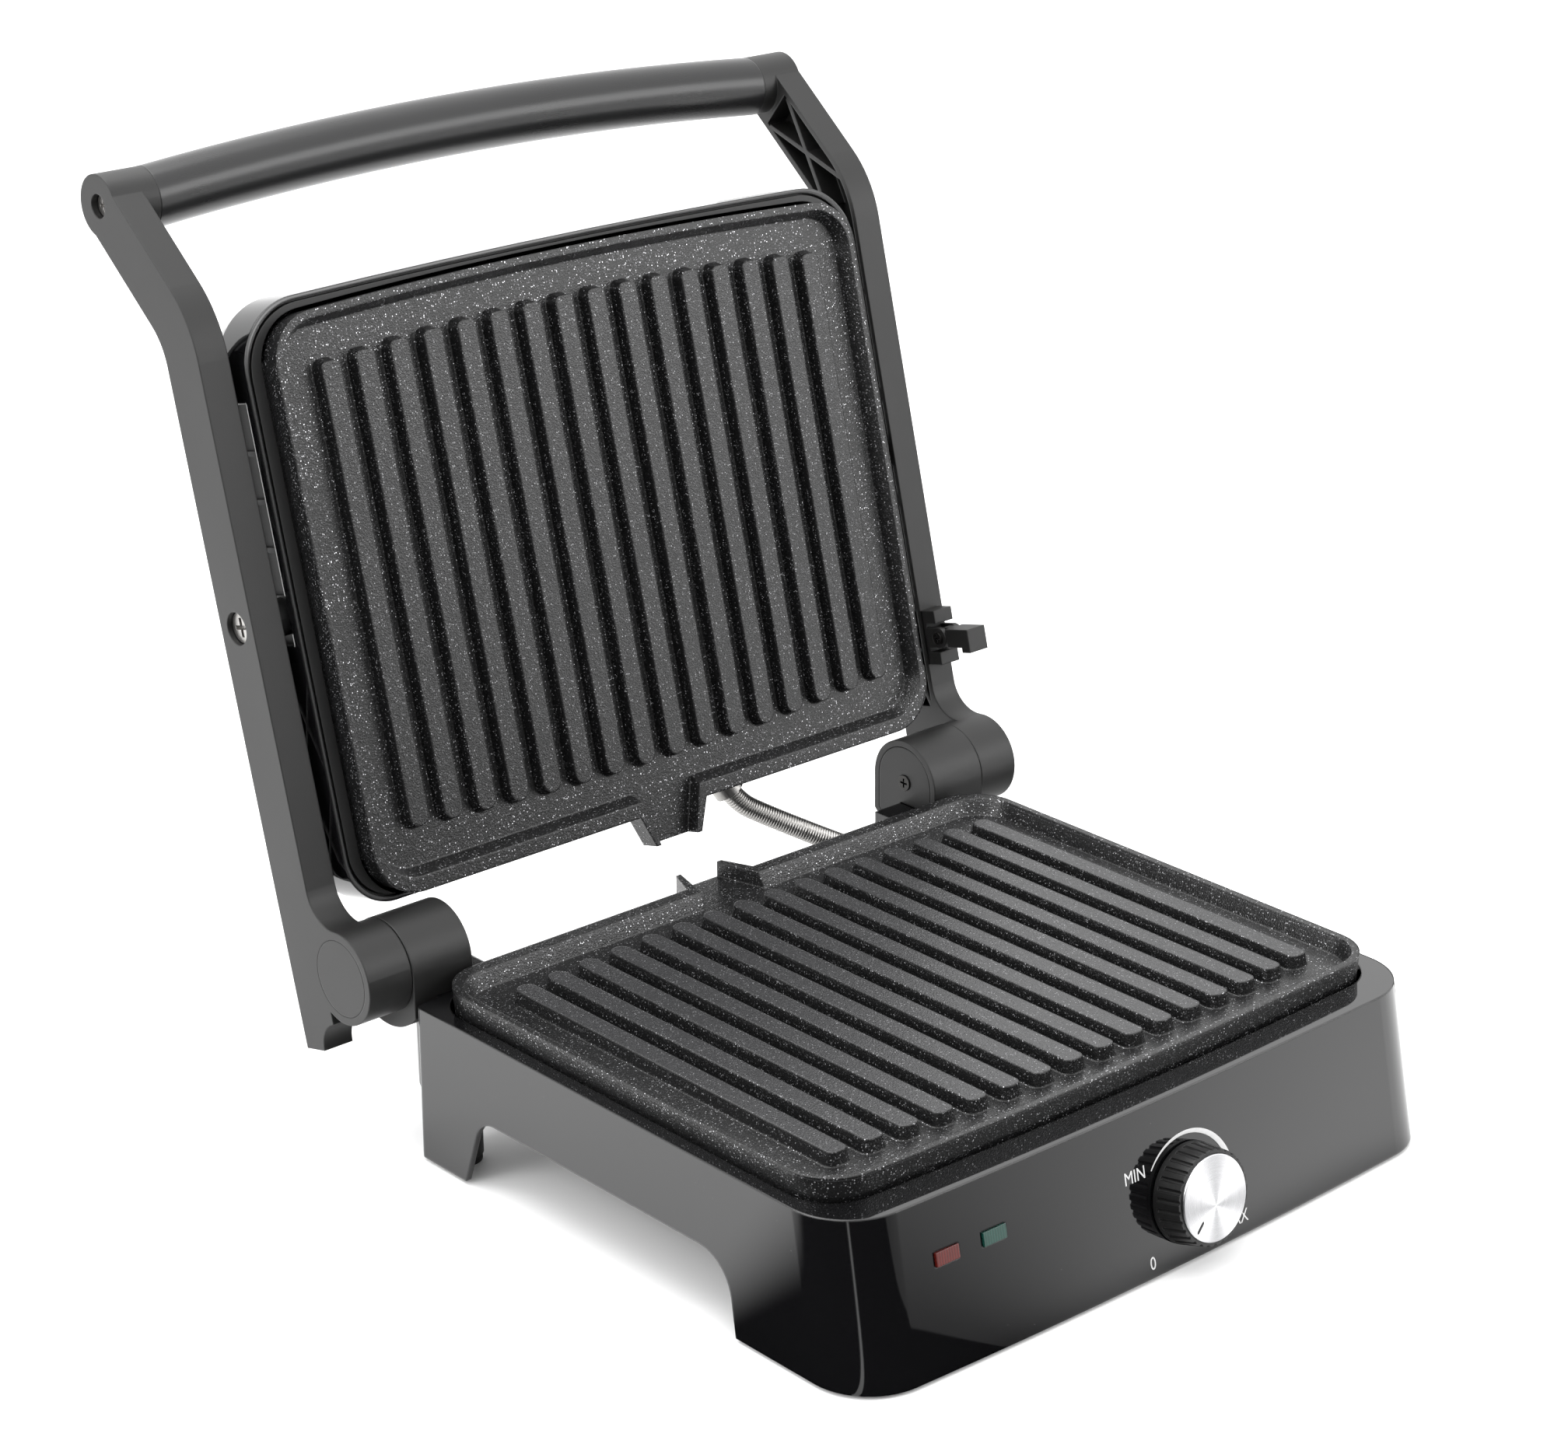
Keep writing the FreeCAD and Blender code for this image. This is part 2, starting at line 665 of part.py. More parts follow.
def on_hinge(radius, side, near, far):
    """Round bar on the hinge axis between two distances from the middle."""
    return rod(radius, V(side * near, hinge_y, hinge_z), V(side * far, hinge_y, hinge_z))


def hinge_tower(side):
    """Tower that saddles the rear body and holds the hinge pin."""
    body = tower_profile(side, 0.0, tower_inner, tower_outer)
    body = body.cut(rear_body(0.0))
    seat = tower_inner + tower_cover_thickness
    body = body.cut(tower_profile(side, tower_cover_inset, tower_inner, seat))
    body = body.cut(on_hinge(hinge_pin_radius, side, pin_start(), tower_outer + 1))
    body = body.cut(on_hinge(tower_screw_radius, side, seat, pin_start()))
    return body


def pin_start():
    """Distance of a hinge pin's inner end from the middle."""
    return arm_outer - hinge_cap_thickness - 1 - hinge_pin_length


def tower_cover(side):
    """D-shaped cover let into the tower's inner end."""
    seat = tower_inner + tower_cover_thickness
    plate = tower_profile(side, tower_cover_inset + tower_cover_gap, tower_inner, seat)
    plate = plate.cut(rear_body(-tower_cover_gap))
    plate = plate.cut(on_hinge(tower_screw_head_radius, side, tower_inner,
                               tower_inner + tower_cover_thickness / 2))
    return plate.cut(on_hinge(tower_screw_radius, side, tower_inner, seat))


def tower_screw(side):
    """Cross-head screw through the tower cover."""
    head_in = tower_inner + tower_cover_thickness / 2
    head = on_hinge(tower_screw_head_radius, side, head_in - tower_screw_head_height, head_in)
    shank = on_hinge(tower_screw_radius, side, head_in, pin_start())
    return cross_slot(head.fuse(shank).removeSplitter(), side, tower_inner - 0.6, hinge_y, hinge_z,
                      tower_screw_head_radius)


def cross_slot(screw, side, face, y, z, radius):
    """Cut a cross recess into a screw head whose outer face is at distance face, facing the middle."""
    depth = radius * 0.35
    arm = radius * 0.62
    half = radius * 0.13
    x0, x1 = span(side, face - 1, face + depth)
    screw = screw.cut(box(x0, x1, y - arm, y + arm, z - half, z + half))
    return screw.cut(box(x0, x1, y - half, y + half, z - arm, z + arm))


def hinge_pin(side):
    """Steel pin, fast in the tower, on which the arm turns."""
    return on_hinge(hinge_pin_radius, side, pin_start(), pin_start() + hinge_pin_length)


# ---------------------------------------------------------------- arms and handle
def arm_bar(half, tail, stop, x0, x1, outer_radius, inner_radius):
    """Bent bar along the arm's middle line, from tail behind the hinge axis to stop short of the handle."""
    middle = hinge_z + arm_height
    miter = half * math.tan(rise / 2)
    along = V(0, -math.cos(rise), math.sin(rise))
    across = V(0, math.sin(rise), math.cos(rise))
    end = V(0, handle_y, handle_z) - along * stop
    low_end = end - across * half
    high_end = end + across * half
    points = [(hinge_y + tail, middle - half), (bend_y - miter, middle - half), (low_end.y, low_end.z),
              (high_end.y, high_end.z), (bend_y + miter, middle + half), (hinge_y + tail, middle + half)]
    bar = prism(points, x0, x1)
    bar = bar.makeFillet(outer_radius, edges_near(bar, *points[1]))
    return bar.makeFillet(inner_radius, edges_near(bar, *points[4]))


def lid_arm(side):
    """Moulded arm: boss, bent channel with crossed ribs, tail, pivot pad and handle collar."""
    x0, x1 = span(side, arm_inner, arm_outer)
    bar = arm_bar(arm_width / 2, arm_tail, 0.0, x0, x1, arm_bend_outer_radius, arm_bend_inner_radius)
    boss = on_hinge(arm_boss_radius, side, arm_inner, arm_outer)
    body = bar.fuse(boss).removeSplitter()
    meet = math.sqrt(arm_boss_radius ** 2 - (arm_low - hinge_z) ** 2)
    body = body.makeFillet(arm_boss_fillet, edges_near(body, hinge_y - meet, arm_low))
    body = body.cut(rod(arm_tail_bite, V(x0 - 1, hinge_y + arm_tail, arm_low - 1.6),
                        V(x1 + 1, hinge_y + arm_tail, arm_low - 1.6)))
    depth0, depth1 = span(side, arm_inner - 1, arm_outer - arm_web)
    pocket_half = arm_width / 2 - arm_wall
    pocket = arm_bar(pocket_half, -arm_boss_radius - 6, handle_radius + 2, depth0, depth1,
                     arm_bend_outer_radius - arm_wall, arm_bend_inner_radius + arm_wall)
    rib_span = span(side, arm_inner, arm_outer - arm_web)
    pocket = pocket.cut(Part.makeCompound(arm_ribs(pocket_half, *rib_span)))
    pad = rod(float_pad_radius, V(side * arm_inner, float_y, float_z), V(side * arm_outer, float_y, float_z))
    body = body.cut(pocket).fuse(pad)
    collar = rod(handle_radius, V(side * tower_outer, handle_y, handle_z),
                 V(side * arm_outer, handle_y, handle_z))
    hub = on_hinge(arm_boss_radius, side, boss_inner, arm_inner + 1)
    body = body.multiFuse([collar, hub]).removeSplitter()
    bore = on_hinge(hinge_pin_radius + hinge_running_gap, side, boss_inner - 1,
                    arm_outer - hinge_cap_thickness)
    cap_room = on_hinge(hinge_cap_radius + hinge_cap_gap, side, arm_outer - hinge_cap_thickness,
                        arm_outer + 1)
    float_hole = across_hole(float_screw_radius, side, tower_outer, float_y, float_z)
    float_room = across_hole(float_screw_recess_radius, side, arm_outer - float_screw_recess_depth,
                             float_y, float_z)
    handle_hole = across_hole(handle_screw_radius, side, tower_outer - 1, handle_y, handle_z)
    handle_room = across_hole(handle_screw_recess_radius, side, arm_outer - handle_screw_recess_depth,
                              handle_y, handle_z)
    for cutter in (bore, cap_room, float_hole, float_room, handle_hole, handle_room):
        body = body.cut(cutter)
    return body


def across_hole(radius, side, near, y, z):
    """Round cutter along X from a distance out past the arm's outer face."""
    return rod(radius, V(side * near, y, z), V(side * (arm_outer + 1), y, z))


def arm_ribs(half, x0, x1):
    """Crossed ribs inside the arm's pocket, one cross per cell from the boss to the handle."""
    middle = hinge_z + arm_height
    ribs = []
    cells = int((arm_reach - arm_boss_radius - 6) // arm_rib_cell)
    starts = [(V(0, hinge_y - arm_boss_radius - 6 - number * arm_rib_cell, middle), V(0, -1, 0), Z_AXIS)
              for number in range(cells)]
    along = V(0, -math.cos(rise), math.sin(rise))
    across = V(0, math.sin(rise), math.cos(rise))
    starts.append((V(0, bend_y, middle), along, across))
    for start, forward, sideways in starts:
        for way in (-1, 1):
            begin = start - sideways * (half * way)
            finish = start + forward * arm_rib_cell + sideways * (half * way)
            ribs.append(rib_wall(begin, finish, x0, x1))
    return ribs


def rib_wall(begin, finish, x0, x1):
    """Thin wall between two points in the arm's plane."""
    run = (finish - begin).normalize()
    off = V(0, -run.z, run.y) * (arm_rib / 2)
    corners = [begin + off, finish + off, finish - off, begin - off]
    return prism([(corner.y, corner.z) for corner in corners], x0, x1)


def hinge_cap(side):
    """Round cap over the end of the hinge pin, flush with the arm."""
    return on_hinge(hinge_cap_radius, side, arm_outer - hinge_cap_thickness, arm_outer)


def countersunk(side, radius, head_radius, y, z, tip, seat):
    """Screw along X with its head in the arm's recess, its tip at a distance from the middle."""
    head_height = head_radius * 0.55
    shank = rod(radius, V(side * tip, y, z), V(side * seat, y, z))
    head = rod(head_radius, V(side * seat, y, z), V(side * (seat + head_height), y, z))
    body = shank.fuse(head).removeSplitter()
    top = seat + head_height
    arm = head_radius * 0.62
    half = head_radius * 0.13
    x0, x1 = span(side, top - head_height * 0.5, top + 1)
    body = body.cut(box(x0, x1, y - arm, y + arm, z - half, z + half))
    return body.cut(box(x0, x1, y - half, y + half, z - arm, z + arm))


def bowed_bar(radius):
    """Round bar of the handle's line, bowed away from the arms, longer than the handle."""
    half_chord = tower_outer
    big = (half_chord ** 2 + handle_bow ** 2) / (2 * handle_bow)
    out = V(0, -math.cos(rise), math.sin(rise))
    normal = V(0, math.sin(rise), math.cos(rise))
    top = V(0, handle_y, handle_z) + out * handle_bow
    centre = top - out * big
    swing = math.degrees(math.asin(half_chord / big)) + 1
    ring = Part.Face(Part.Wire(Part.makeCircle(radius, top, X_AXIS)))
    first = ring.copy()
    first.rotate(centre, normal, -swing)
    return first.revolve(centre, normal, 2 * swing)


def between_arms(shape):
    """The part of a bar that lies between the two handle collars."""
    return shape.common(box(-tower_outer, tower_outer, handle_y - 60, handle_y + 60, handle_z - 60,
                            handle_z + 60))


def handle_tube():
    """Bowed handle tube between the collars."""
    return between_arms(bowed_bar(handle_radius)).cut(bowed_bar(handle_radius - handle_wall))


def handle_plug(side):
    """Plug in one end of the handle that its screw bites into."""
    core = between_arms(bowed_bar(handle_radius - handle_wall))
    x0, x1 = span(side, tower_outer - handle_plug_length, tower_outer)
    plug = core.common(box(x0, x1, handle_y - 60, handle_y + 60, handle_z - 60, handle_z + 60))
    return plug.cut(across_hole(handle_screw_radius, side, tower_outer - 2 * handle_plug_length,
                                handle_y, handle_z))


# ---------------------------------------------------------------- upper housing
def upper_outline(inset, z):
    """Outline of the upper housing, shrunk by inset."""
    return bowed_outline(upper_half_width - inset, upper_bow - upper_front + inset, upper_rear - inset,
                         upper_bow, upper_front_radius - inset * 0.4, upper_rear_radius - inset * 0.3, z)


def dome(wall):
    """Solid of the upper housing: straight sides, then an elliptic shoulder, inset by wall."""
    wires = [upper_outline(wall, upper_face)]
    for step in range(upper_dome_steps):
        angle = math.pi / 2 * step / (upper_dome_steps - 1)
        inset = (upper_dome_inset - wall) * (1 - math.cos(angle)) + wall
        z = upper_face + upper_side_height + (upper_dome_height - wall) * math.sin(angle)
        wires.append(upper_outline(inset, z))
    return loft(wires)


def upper_housing():
    """Glossy domed shell with a recess in each side for the floating pivot."""
    shell = dome(0.0).cut(dome(upper_wall))
    low = upper_face + recess_bottom_gap
    for side in (-1, 1):
        x0, x1 = span(side, upper_half_width - 3 * upper_wall, upper_half_width + 1)
        shell = shell.cut(box(x0, x1, recess_front, recess_rear, low, low + recess_height))
    place = conduit_exit()
    shell = shell.cut(rod(conduit_radius + 0.4, place - conduit_out * 8, place + conduit_out * 8))
    return shell.cut(rod(ferrule_radius, place, place + conduit_out * ferrule_length)).cut(spout_pocket())


def spout_pocket():
    """Room for the upper plate's spout in the edge of the lid."""
    half = spout_root_half + plate_gap
    return box(-half, half, plate_rear - 1, upper_rear + 1, upper_rim,
               upper_rim + well_depth + spout_floor + plate_gap)


def upper_bezel():
    """Ring between housing and plate: a narrow groove round its face, a wider lip behind."""
    top = upper_rim + plate_height
    step = top - upper_bezel_lip
    face = loft([upper_outline(upper_wall + upper_groove, upper_face),
                 upper_outline(upper_wall + upper_groove, step)])
    lip = loft([upper_outline(upper_wall, step), upper_outline(upper_wall, top)])
    inner = loft([plate_outline(plate_gap, upper_face - 1), plate_outline(plate_gap, top + 1)])
    return face.fuse(lip).removeSplitter().cut(inner).cut(spout_pocket())


def side_rail(side):
    """Rail inside the recess with the floating pivot's boss and a row of ribs."""
    low = upper_rim + plate_height + reflector_sheet
    high = upper_face + recess_bottom_gap + recess_height + 1
    face = upper_half_width - rail_inset
    x0, x1 = span(side, face - rail_thickness, face)
    rail = box(x0, x1, recess_front - 4, recess_rear + 4, low, high)
    pieces = []
    pitch = (recess_rear - recess_front) / (rail_rib_count + 1)
    r0, r1 = span(side, face, upper_half_width - upper_wall - rail_rib_gap)
    for number in range(1, rail_rib_count + 1):
        y = recess_front + number * pitch
        pieces.append(box(r0, r1, y, y + rail_rib_thickness, low, high))
    boss_end = arm_inner - float_side_gap
    pieces.append(rod(float_boss_radius, V(side * (face - 1), float_y, float_z),
                      V(side * boss_end, float_y, float_z)))
    rail = rail.multiFuse(pieces).removeSplitter()
    bore = float_screw_radius + float_running_gap
    return rail.cut(rod(bore, V(side * (face - rail_thickness - 1), float_y, float_z),
                        V(side * (boss_end + 1), float_y, float_z)))


# ---------------------------------------------------------------- controls
def lamp_block(x, depth, proud, grow):
    """Block of a lamp lens set square to the panel, from depth behind it to proud in front."""
    half = lamp_width / 2 + grow
    tall = lamp_height / 2 + grow
    return on_panel(box(-half, half, -tall, tall, -depth, proud), x, lamp_z)


def lamp_holder(x):
    """Clip-in holder behind a lens, inside the panel."""
    half = lamp_width / 2 + 2
    tall = lamp_height / 2 + 2
    block = box(-half, half, -tall, tall, -lamp_holder_depth - base_wall - 1, -base_wall - 1)
    return on_panel(block, x, lamp_z).cut(lamp_block(x, lamp_depth, lamp_proud, 0.0))


def control_knob():
    """Ribbed knob skirt with a shallow seat for its cap and a bore for the shaft."""
    body = Part.makeCone(knob_radius, knob_top_radius, knob_height, V(0, 0, knob_gap))
    for number in range(knob_groove_count):
        turn = 2 * math.pi * number / knob_groove_count
        low = V(knob_radius * math.cos(turn), knob_radius * math.sin(turn), knob_gap + 2)
        high = V(knob_top_radius * math.cos(turn), knob_top_radius * math.sin(turn),
                 knob_gap + knob_height + 1)
        body = body.cut(rod(knob_groove_radius, low, high))
    top = knob_gap + knob_height
    body = body.cut(Part.makeCylinder(knob_cap_radius, knob_cap_recess, V(0, 0, top - knob_cap_recess)))
    body = body.cut(Part.makeCylinder(shaft_radius, shaft_reach, V(0, 0, 0)))
    body = body.cut(Part.makeCylinder(bushing_radius + 1, 3 + knob_gap, V(0, 0, 0)))
    return on_panel(body, knob_x, knob_z)


def knob_cap():
    """Thin metal disc on the knob's face."""
    low = knob_gap + knob_height - knob_cap_recess
    disc = Part.makeCylinder(knob_cap_radius, knob_cap_thickness, V(0, 0, low))
    rim = [e for e in disc.Edges if abs(e.CenterOfMass.z - low - knob_cap_thickness) < 0.01]
    return on_panel(disc.makeFillet(0.6, rim), knob_x, knob_z)


def knob_shaft():
    """Shaft of the thermostat, fast in the knob."""
    inside = base_wall + 9
    return on_panel(Part.makeCylinder(shaft_radius, inside + shaft_reach, V(0, 0, -inside)),
                    knob_x, knob_z)


def thermostat_case(grow):
    """Case of the thermostat, behind the panel, grown all round."""
    half = thermostat_width / 2 + grow
    tall = thermostat_height / 2 + grow
    back = -base_wall - 0.5
    return on_panel(box(-half, half, -tall, tall, back - thermostat_depth - grow, back + grow),
                    knob_x, knob_z)


def thermostat():
    """Thermostat with its threaded bushing through the panel."""
    back = -base_wall - 0.5
    bushing = on_panel(Part.makeCylinder(bushing_radius, 3 - back, V(0, 0, back)), knob_x, knob_z)
    bore = Part.makeCylinder(shaft_radius + shaft_running_gap, 20 - back, V(0, 0, back - 10))
    return thermostat_case(0.0).fuse(bushing).cut(on_panel(bore, knob_x, knob_z))


# ---------------------------------------------------------------- wiring
def conduit_exit():
    """Where the conduit leaves the closed lid's rear wall."""
    return V(conduit_exit_x, upper_rear, upper_face + conduit_exit_height)


def opened(point):
    """A direction or an offset from the hinge axis, turned from the closed lid to the open one."""
    turn = math.radians(-open_angle)
    return V(point.x, point.y * math.cos(turn) - point.z * math.sin(turn),
             point.y * math.sin(turn) + point.z * math.cos(turn))


def conduit_points():
    """Route of the wiring conduit with the lid open, from the lid to the right hinge support."""
    first = hinge_point + opened(conduit_exit() - hinge_point)
    last = V(rear_bay_half, rear_bay_back + 11.0, base_height - 14.0)
    return [first, first + opened(conduit_out) * 10.5, V(57.0, 151.5, 74.5), V(70.5, 141.0, 66.5),
            V(83.5, 133.5, 59.0), V(96.5, last.y, last.z), last]


def conduit_path(points):
    """Straight runs joined by arcs as large as their two runs allow."""
    edges = []
    start = points[0]
    for before, corner, after in zip(points, points[1:], points[2:]):
        back = (before - corner).normalize()
        ahead = (after - corner).normalize()
        trim = 0.45 * min((before - corner).Length, (after - corner).Length)
        first = corner + back * trim
        last = corner + ahead * trim
        turn = math.pi - back.getAngle(ahead)
        radius = trim / math.tan(turn / 2)
        middle = corner + (back + ahead).normalize() * (math.hypot(radius, trim) - radius)
        edges.append(Part.makeLine(start, first))
        edges.append(Part.Arc(first, middle, last).toShape())
        print("conduit bend radius", round(radius, 1))
        start = last
    edges.append(Part.makeLine(start, points[-1]))
    return Part.Wire(edges)


def wiring_conduit():
    """Flexible conduit between the lid and the base."""
    points = conduit_points()
    path = conduit_path(points)
    section = Part.Wire(Part.makeCircle(conduit_radius, points[0], points[1] - points[0]))
    tube = path.makePipeShell([section], True, False)
    print("conduit volume over section times length",
          round(tube.Volume / (math.pi * conduit_radius ** 2 * path.Length), 4))
    return tube


def cord_inlet():
    """Rubber gland of the mains cord, with its neck through the rear wall and an open bore."""
    wall = V(inlet_x, rear_bay_back, inlet_z)
    gland = rod(inlet_radius, wall, wall + Y_AXIS * inlet_length)
    neck = rod(inlet_radius - 2, wall - Y_AXIS * (base_wall + 2), wall)
    bore = rod(inlet_bore, wall - Y_AXIS * 10, wall + Y_AXIS * (inlet_length + 1))
    return gland.fuse(neck).removeSplitter().cut(bore)


def ferrule(middle, out):
    """Collar round the conduit where it enters a housing, standing along out."""
    outer = Part.makeCylinder(ferrule_radius, ferrule_length, middle, out)
    return outer.cut(Part.makeCylinder(conduit_radius + 0.2, ferrule_length * 3,
                                       middle - out * ferrule_length, out))


# ---------------------------------------------------------------- latch
def latch_place():
    """X limits of the latch and its pivot point, lid closed."""
    x0 = arm_inner + 0.2
    return x0, x0 + latch_block_width, hinge_y - latch_along, arm_low - latch_pivot_drop


def latch_block():
    """Clevis under the right arm: two stop blocks joined by a back plate, and a cheek each side."""
    x0, x1, y, z = latch_place()
    half = latch_block_length / 2
    block = box(x0, x1, y - half, y + half, arm_low - latch_block_depth, arm_low)
    slot = latch_tip_height / 2 + 1.2
    low = arm_low - latch_block_depth - 1
    block = block.cut(box(x0 - 1, x1 + 1, y - slot, y + slot, low, arm_low - 2.5))
    cheeks = []
    for near, far in ((x0, x0 + latch_cheek), (x1 - latch_cheek, x1)):
        cheek = box(near, far, y - latch_cheek_radius, y + latch_cheek_radius, z, arm_low - 1)
        cheeks.append(cheek.fuse(rod(latch_cheek_radius, V(near, y, z), V(far, y, z))))
    block = block.multiFuse(cheeks).removeSplitter()
    return block.cut(rod(latch_pin_radius, V(x0 - 1, y, z), V(x1 + 1, y, z)))


def latch_pin():
    """Cross-head pin on which the lever turns."""
    x0, x1, y, z = latch_place()
    pin = rod(latch_pin_radius, V(x0, y, z), V(x1, y, z))
    head = rod(latch_pin_radius * 1.7, V(x0 - 1.1, y, z), V(x0, y, z))
    return cross_slot(pin.fuse(head).removeSplitter(), 1, x0 - 1.1, y, z, latch_pin_radius * 1.7)


def latch_lever():
    """Lever between the cheeks, widening to a hooked tip."""
    x0, x1, y, z = latch_place()
    inner0 = x0 + latch_cheek + latch_gap
    inner1 = x1 - latch_cheek - latch_gap
    half = latch_lever_height / 2
    shoulder = latch_cheek_radius + latch_gap
    root = rod(half, V(inner0, y, z), V(inner1, y, z))
    root = root.fuse(box(inner0, inner1, y - half, y + half, z - shoulder - 1, z))
    arm = box(x0, x1, y - half, y + half, z - latch_lever_length, z - shoulder)
    tip = box(x0, x1, y - half, y - half + latch_tip_height, z - latch_lever_length,
              z - latch_lever_length + latch_tip_length)
    lever = root.multiFuse([arm, tip]).removeSplitter()
    return lever.cut(rod(latch_pin_radius + 0.05, V(x0 - 1, y, z), V(x1 + 1, y, z)))


# ---------------------------------------------------------------- assembly: base
lower_plate = grill_plate(lower_rim)
keep("base_housing", base_housing())
keep("base_bottom_cover", base_cover())
keep("rear_tray", rear_tray())
keep("foot_posts", [foot_post(x, y) for x, y in foot_places()])
keep("rubber_feet", rubber_feet())
keep("lower_grill_plate", lower_plate)
keep("lower_plate_screws", plate_screws())
keep("lower_heating_element", heating_element())
keep("lower_reflector", reflector(base_height - base_wall - (lower_rim - plate_height)))
keep("hinge_tower_left", hinge_tower(-1))
keep("hinge_tower_right", hinge_tower(1))
keep("tower_cover_left", tower_cover(-1))
keep("tower_cover_right", tower_cover(1))
keep("tower_cover_screws", both_sides(tower_screw))
keep("hinge_pin_left", hinge_pin(-1))
keep("hinge_pin_right", hinge_pin(1))
keep("red_lamp_lens", lamp_block(lamp_red_x, lamp_depth, lamp_proud, 0.0))
keep("green_lamp_lens", lamp_block(lamp_green_x, lamp_depth, lamp_proud, 0.0))
keep("lamp_holders", [lamp_holder(lamp_red_x), lamp_holder(lamp_green_x)])
keep("thermostat", thermostat())
terminal_base = arch_top + cover_thickness
keep("terminal_block", box(-terminal_width / 2, terminal_width / 2, terminal_rear - terminal_depth,
                           terminal_rear, terminal_base, terminal_base + terminal_height))
keep("cord_inlet_gland", cord_inlet())
keep("wiring_conduit", wiring_conduit())

# ---------------------------------------------------------------- assembly: knob
keep("control_knob", control_knob())
keep("knob_cap", knob_cap())
keep("knob_shaft", knob_shaft())

# ---------------------------------------------------------------- assembly: arms and handle
for word, side in (("left", -1), ("right", 1)):
    keep("lid_arm_" + word, swing_open(lid_arm(side)))
    keep("hinge_cap_" + word, swing_open(hinge_cap(side)))
float_seat = arm_outer - float_screw_recess_depth
float_tip = upper_half_width - rail_inset - rail_thickness
handle_seat = arm_outer - handle_screw_recess_depth
keep("float_pivot_screws", [swing_open(screw) for screw in both_sides(
    lambda side: countersunk(side, float_screw_radius, float_screw_recess_radius - screw_head_gap,
                             float_y, float_z, float_tip, float_seat))])
keep("handle_screws", [swing_open(screw) for screw in both_sides(
    lambda side: countersunk(side, handle_screw_radius, handle_screw_recess_radius - screw_head_gap,
                             handle_y, handle_z, handle_seat - handle_screw_length, handle_seat))])
keep("handle_tube", swing_open(handle_tube()))
keep("handle_end_plugs", [swing_open(plug) for plug in both_sides(handle_plug)])
keep("latch_block", swing_open(latch_block()))
keep("latch_pin", swing_open(latch_pin()))
keep("latch_lever", swing_open(latch_lever()))

# ---------------------------------------------------------------- assembly: upper housing
keep("upper_housing", swing_open(upper_housing()))
keep("upper_bezel", swing_open(upper_bezel()))
keep("upper_grill_plate", swing_open(turn_over(lower_plate, upper_rim)))
keep("upper_plate_screws", [swing_open(turn_over(screw, upper_rim)) for screw in plate_screws()])
keep("upper_heating_element", swing_open(turn_over(heating_element(), upper_rim)))
keep("upper_reflector", swing_open(turn_over(reflector(0.0), upper_rim)))
keep("float_rail_left", swing_open(side_rail(-1)))
keep("float_rail_right", swing_open(side_rail(1)))
keep("upper_conduit_ferrule", swing_open(ferrule(conduit_exit(), conduit_out)))
keep("base_conduit_ferrule", ferrule(conduit_points()[-1], -X_AXIS))

# ---------------------------------------------------------------- export
everything = Part.makeCompound(list(nodes.values())).BoundBox
origin_y = (everything.YMin + everything.YMax) / 2
os.makedirs("parts", exist_ok=True)
for name, shape in nodes.items():
    shape.translate(V(0, -origin_y, 0))
    solids = len(shape.Solids)
    if not shape.isValid() or solids == 0:
        print("PROBLEM in", name, "valid", shape.isValid(), "solids", solids)
    shape.exportStep("parts/" + name + ".step")
print("origin_y", round(origin_y, 4), "nodes", len(nodes))
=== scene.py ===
import json
import math

import bpy
import numpy as np
from bpy.props import FloatProperty, FloatVectorProperty, IntProperty, PointerProperty
from mathutils import Matrix, Vector


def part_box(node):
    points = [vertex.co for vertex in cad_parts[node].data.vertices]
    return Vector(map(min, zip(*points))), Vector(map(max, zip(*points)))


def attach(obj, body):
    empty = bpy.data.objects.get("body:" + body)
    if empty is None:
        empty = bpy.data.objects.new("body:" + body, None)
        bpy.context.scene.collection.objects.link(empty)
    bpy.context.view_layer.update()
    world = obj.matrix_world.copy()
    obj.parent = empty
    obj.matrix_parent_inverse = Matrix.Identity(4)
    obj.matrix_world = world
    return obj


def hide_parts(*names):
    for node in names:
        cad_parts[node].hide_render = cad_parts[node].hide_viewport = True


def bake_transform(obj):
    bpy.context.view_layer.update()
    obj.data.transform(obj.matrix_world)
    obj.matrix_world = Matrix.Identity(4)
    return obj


bl_info = {
    "name": "Contact grill finish",
    "version": (1, 0, 0),
    "blender": (4, 5, 0),
    "location": "3D View > Sidebar > Grill",
    "description": "Surfaces, printed dial, flexible conduit and studio for a contact grill",
    "category": "Object",
}

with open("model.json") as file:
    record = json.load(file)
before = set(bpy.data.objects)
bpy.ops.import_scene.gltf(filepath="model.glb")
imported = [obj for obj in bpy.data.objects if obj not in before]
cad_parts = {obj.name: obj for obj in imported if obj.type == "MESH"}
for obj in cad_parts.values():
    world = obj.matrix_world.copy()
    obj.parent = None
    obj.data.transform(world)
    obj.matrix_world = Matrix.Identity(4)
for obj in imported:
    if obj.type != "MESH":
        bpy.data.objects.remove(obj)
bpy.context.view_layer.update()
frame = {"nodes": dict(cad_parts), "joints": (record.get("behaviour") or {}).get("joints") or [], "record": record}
JOINTS = {joint["name"]: joint for joint in frame["joints"]}
HINGE = np.array(JOINTS["lid_hinge"]["pos_m"])
OPEN_ANGLE = math.radians(JOINTS["lid_hinge"]["range_deg"][1])
KNOB = np.array(JOINTS["knob_turn"]["pos_m"])
PANEL_OUT = np.array(JOINTS["knob_turn"]["axis"])
PANEL_UP = np.array([0.0, PANEL_OUT[2], -PANEL_OUT[1]])
SLOT_OF = {part["node"]: part["material_slot"] for part in frame["record"]["subparts"]}

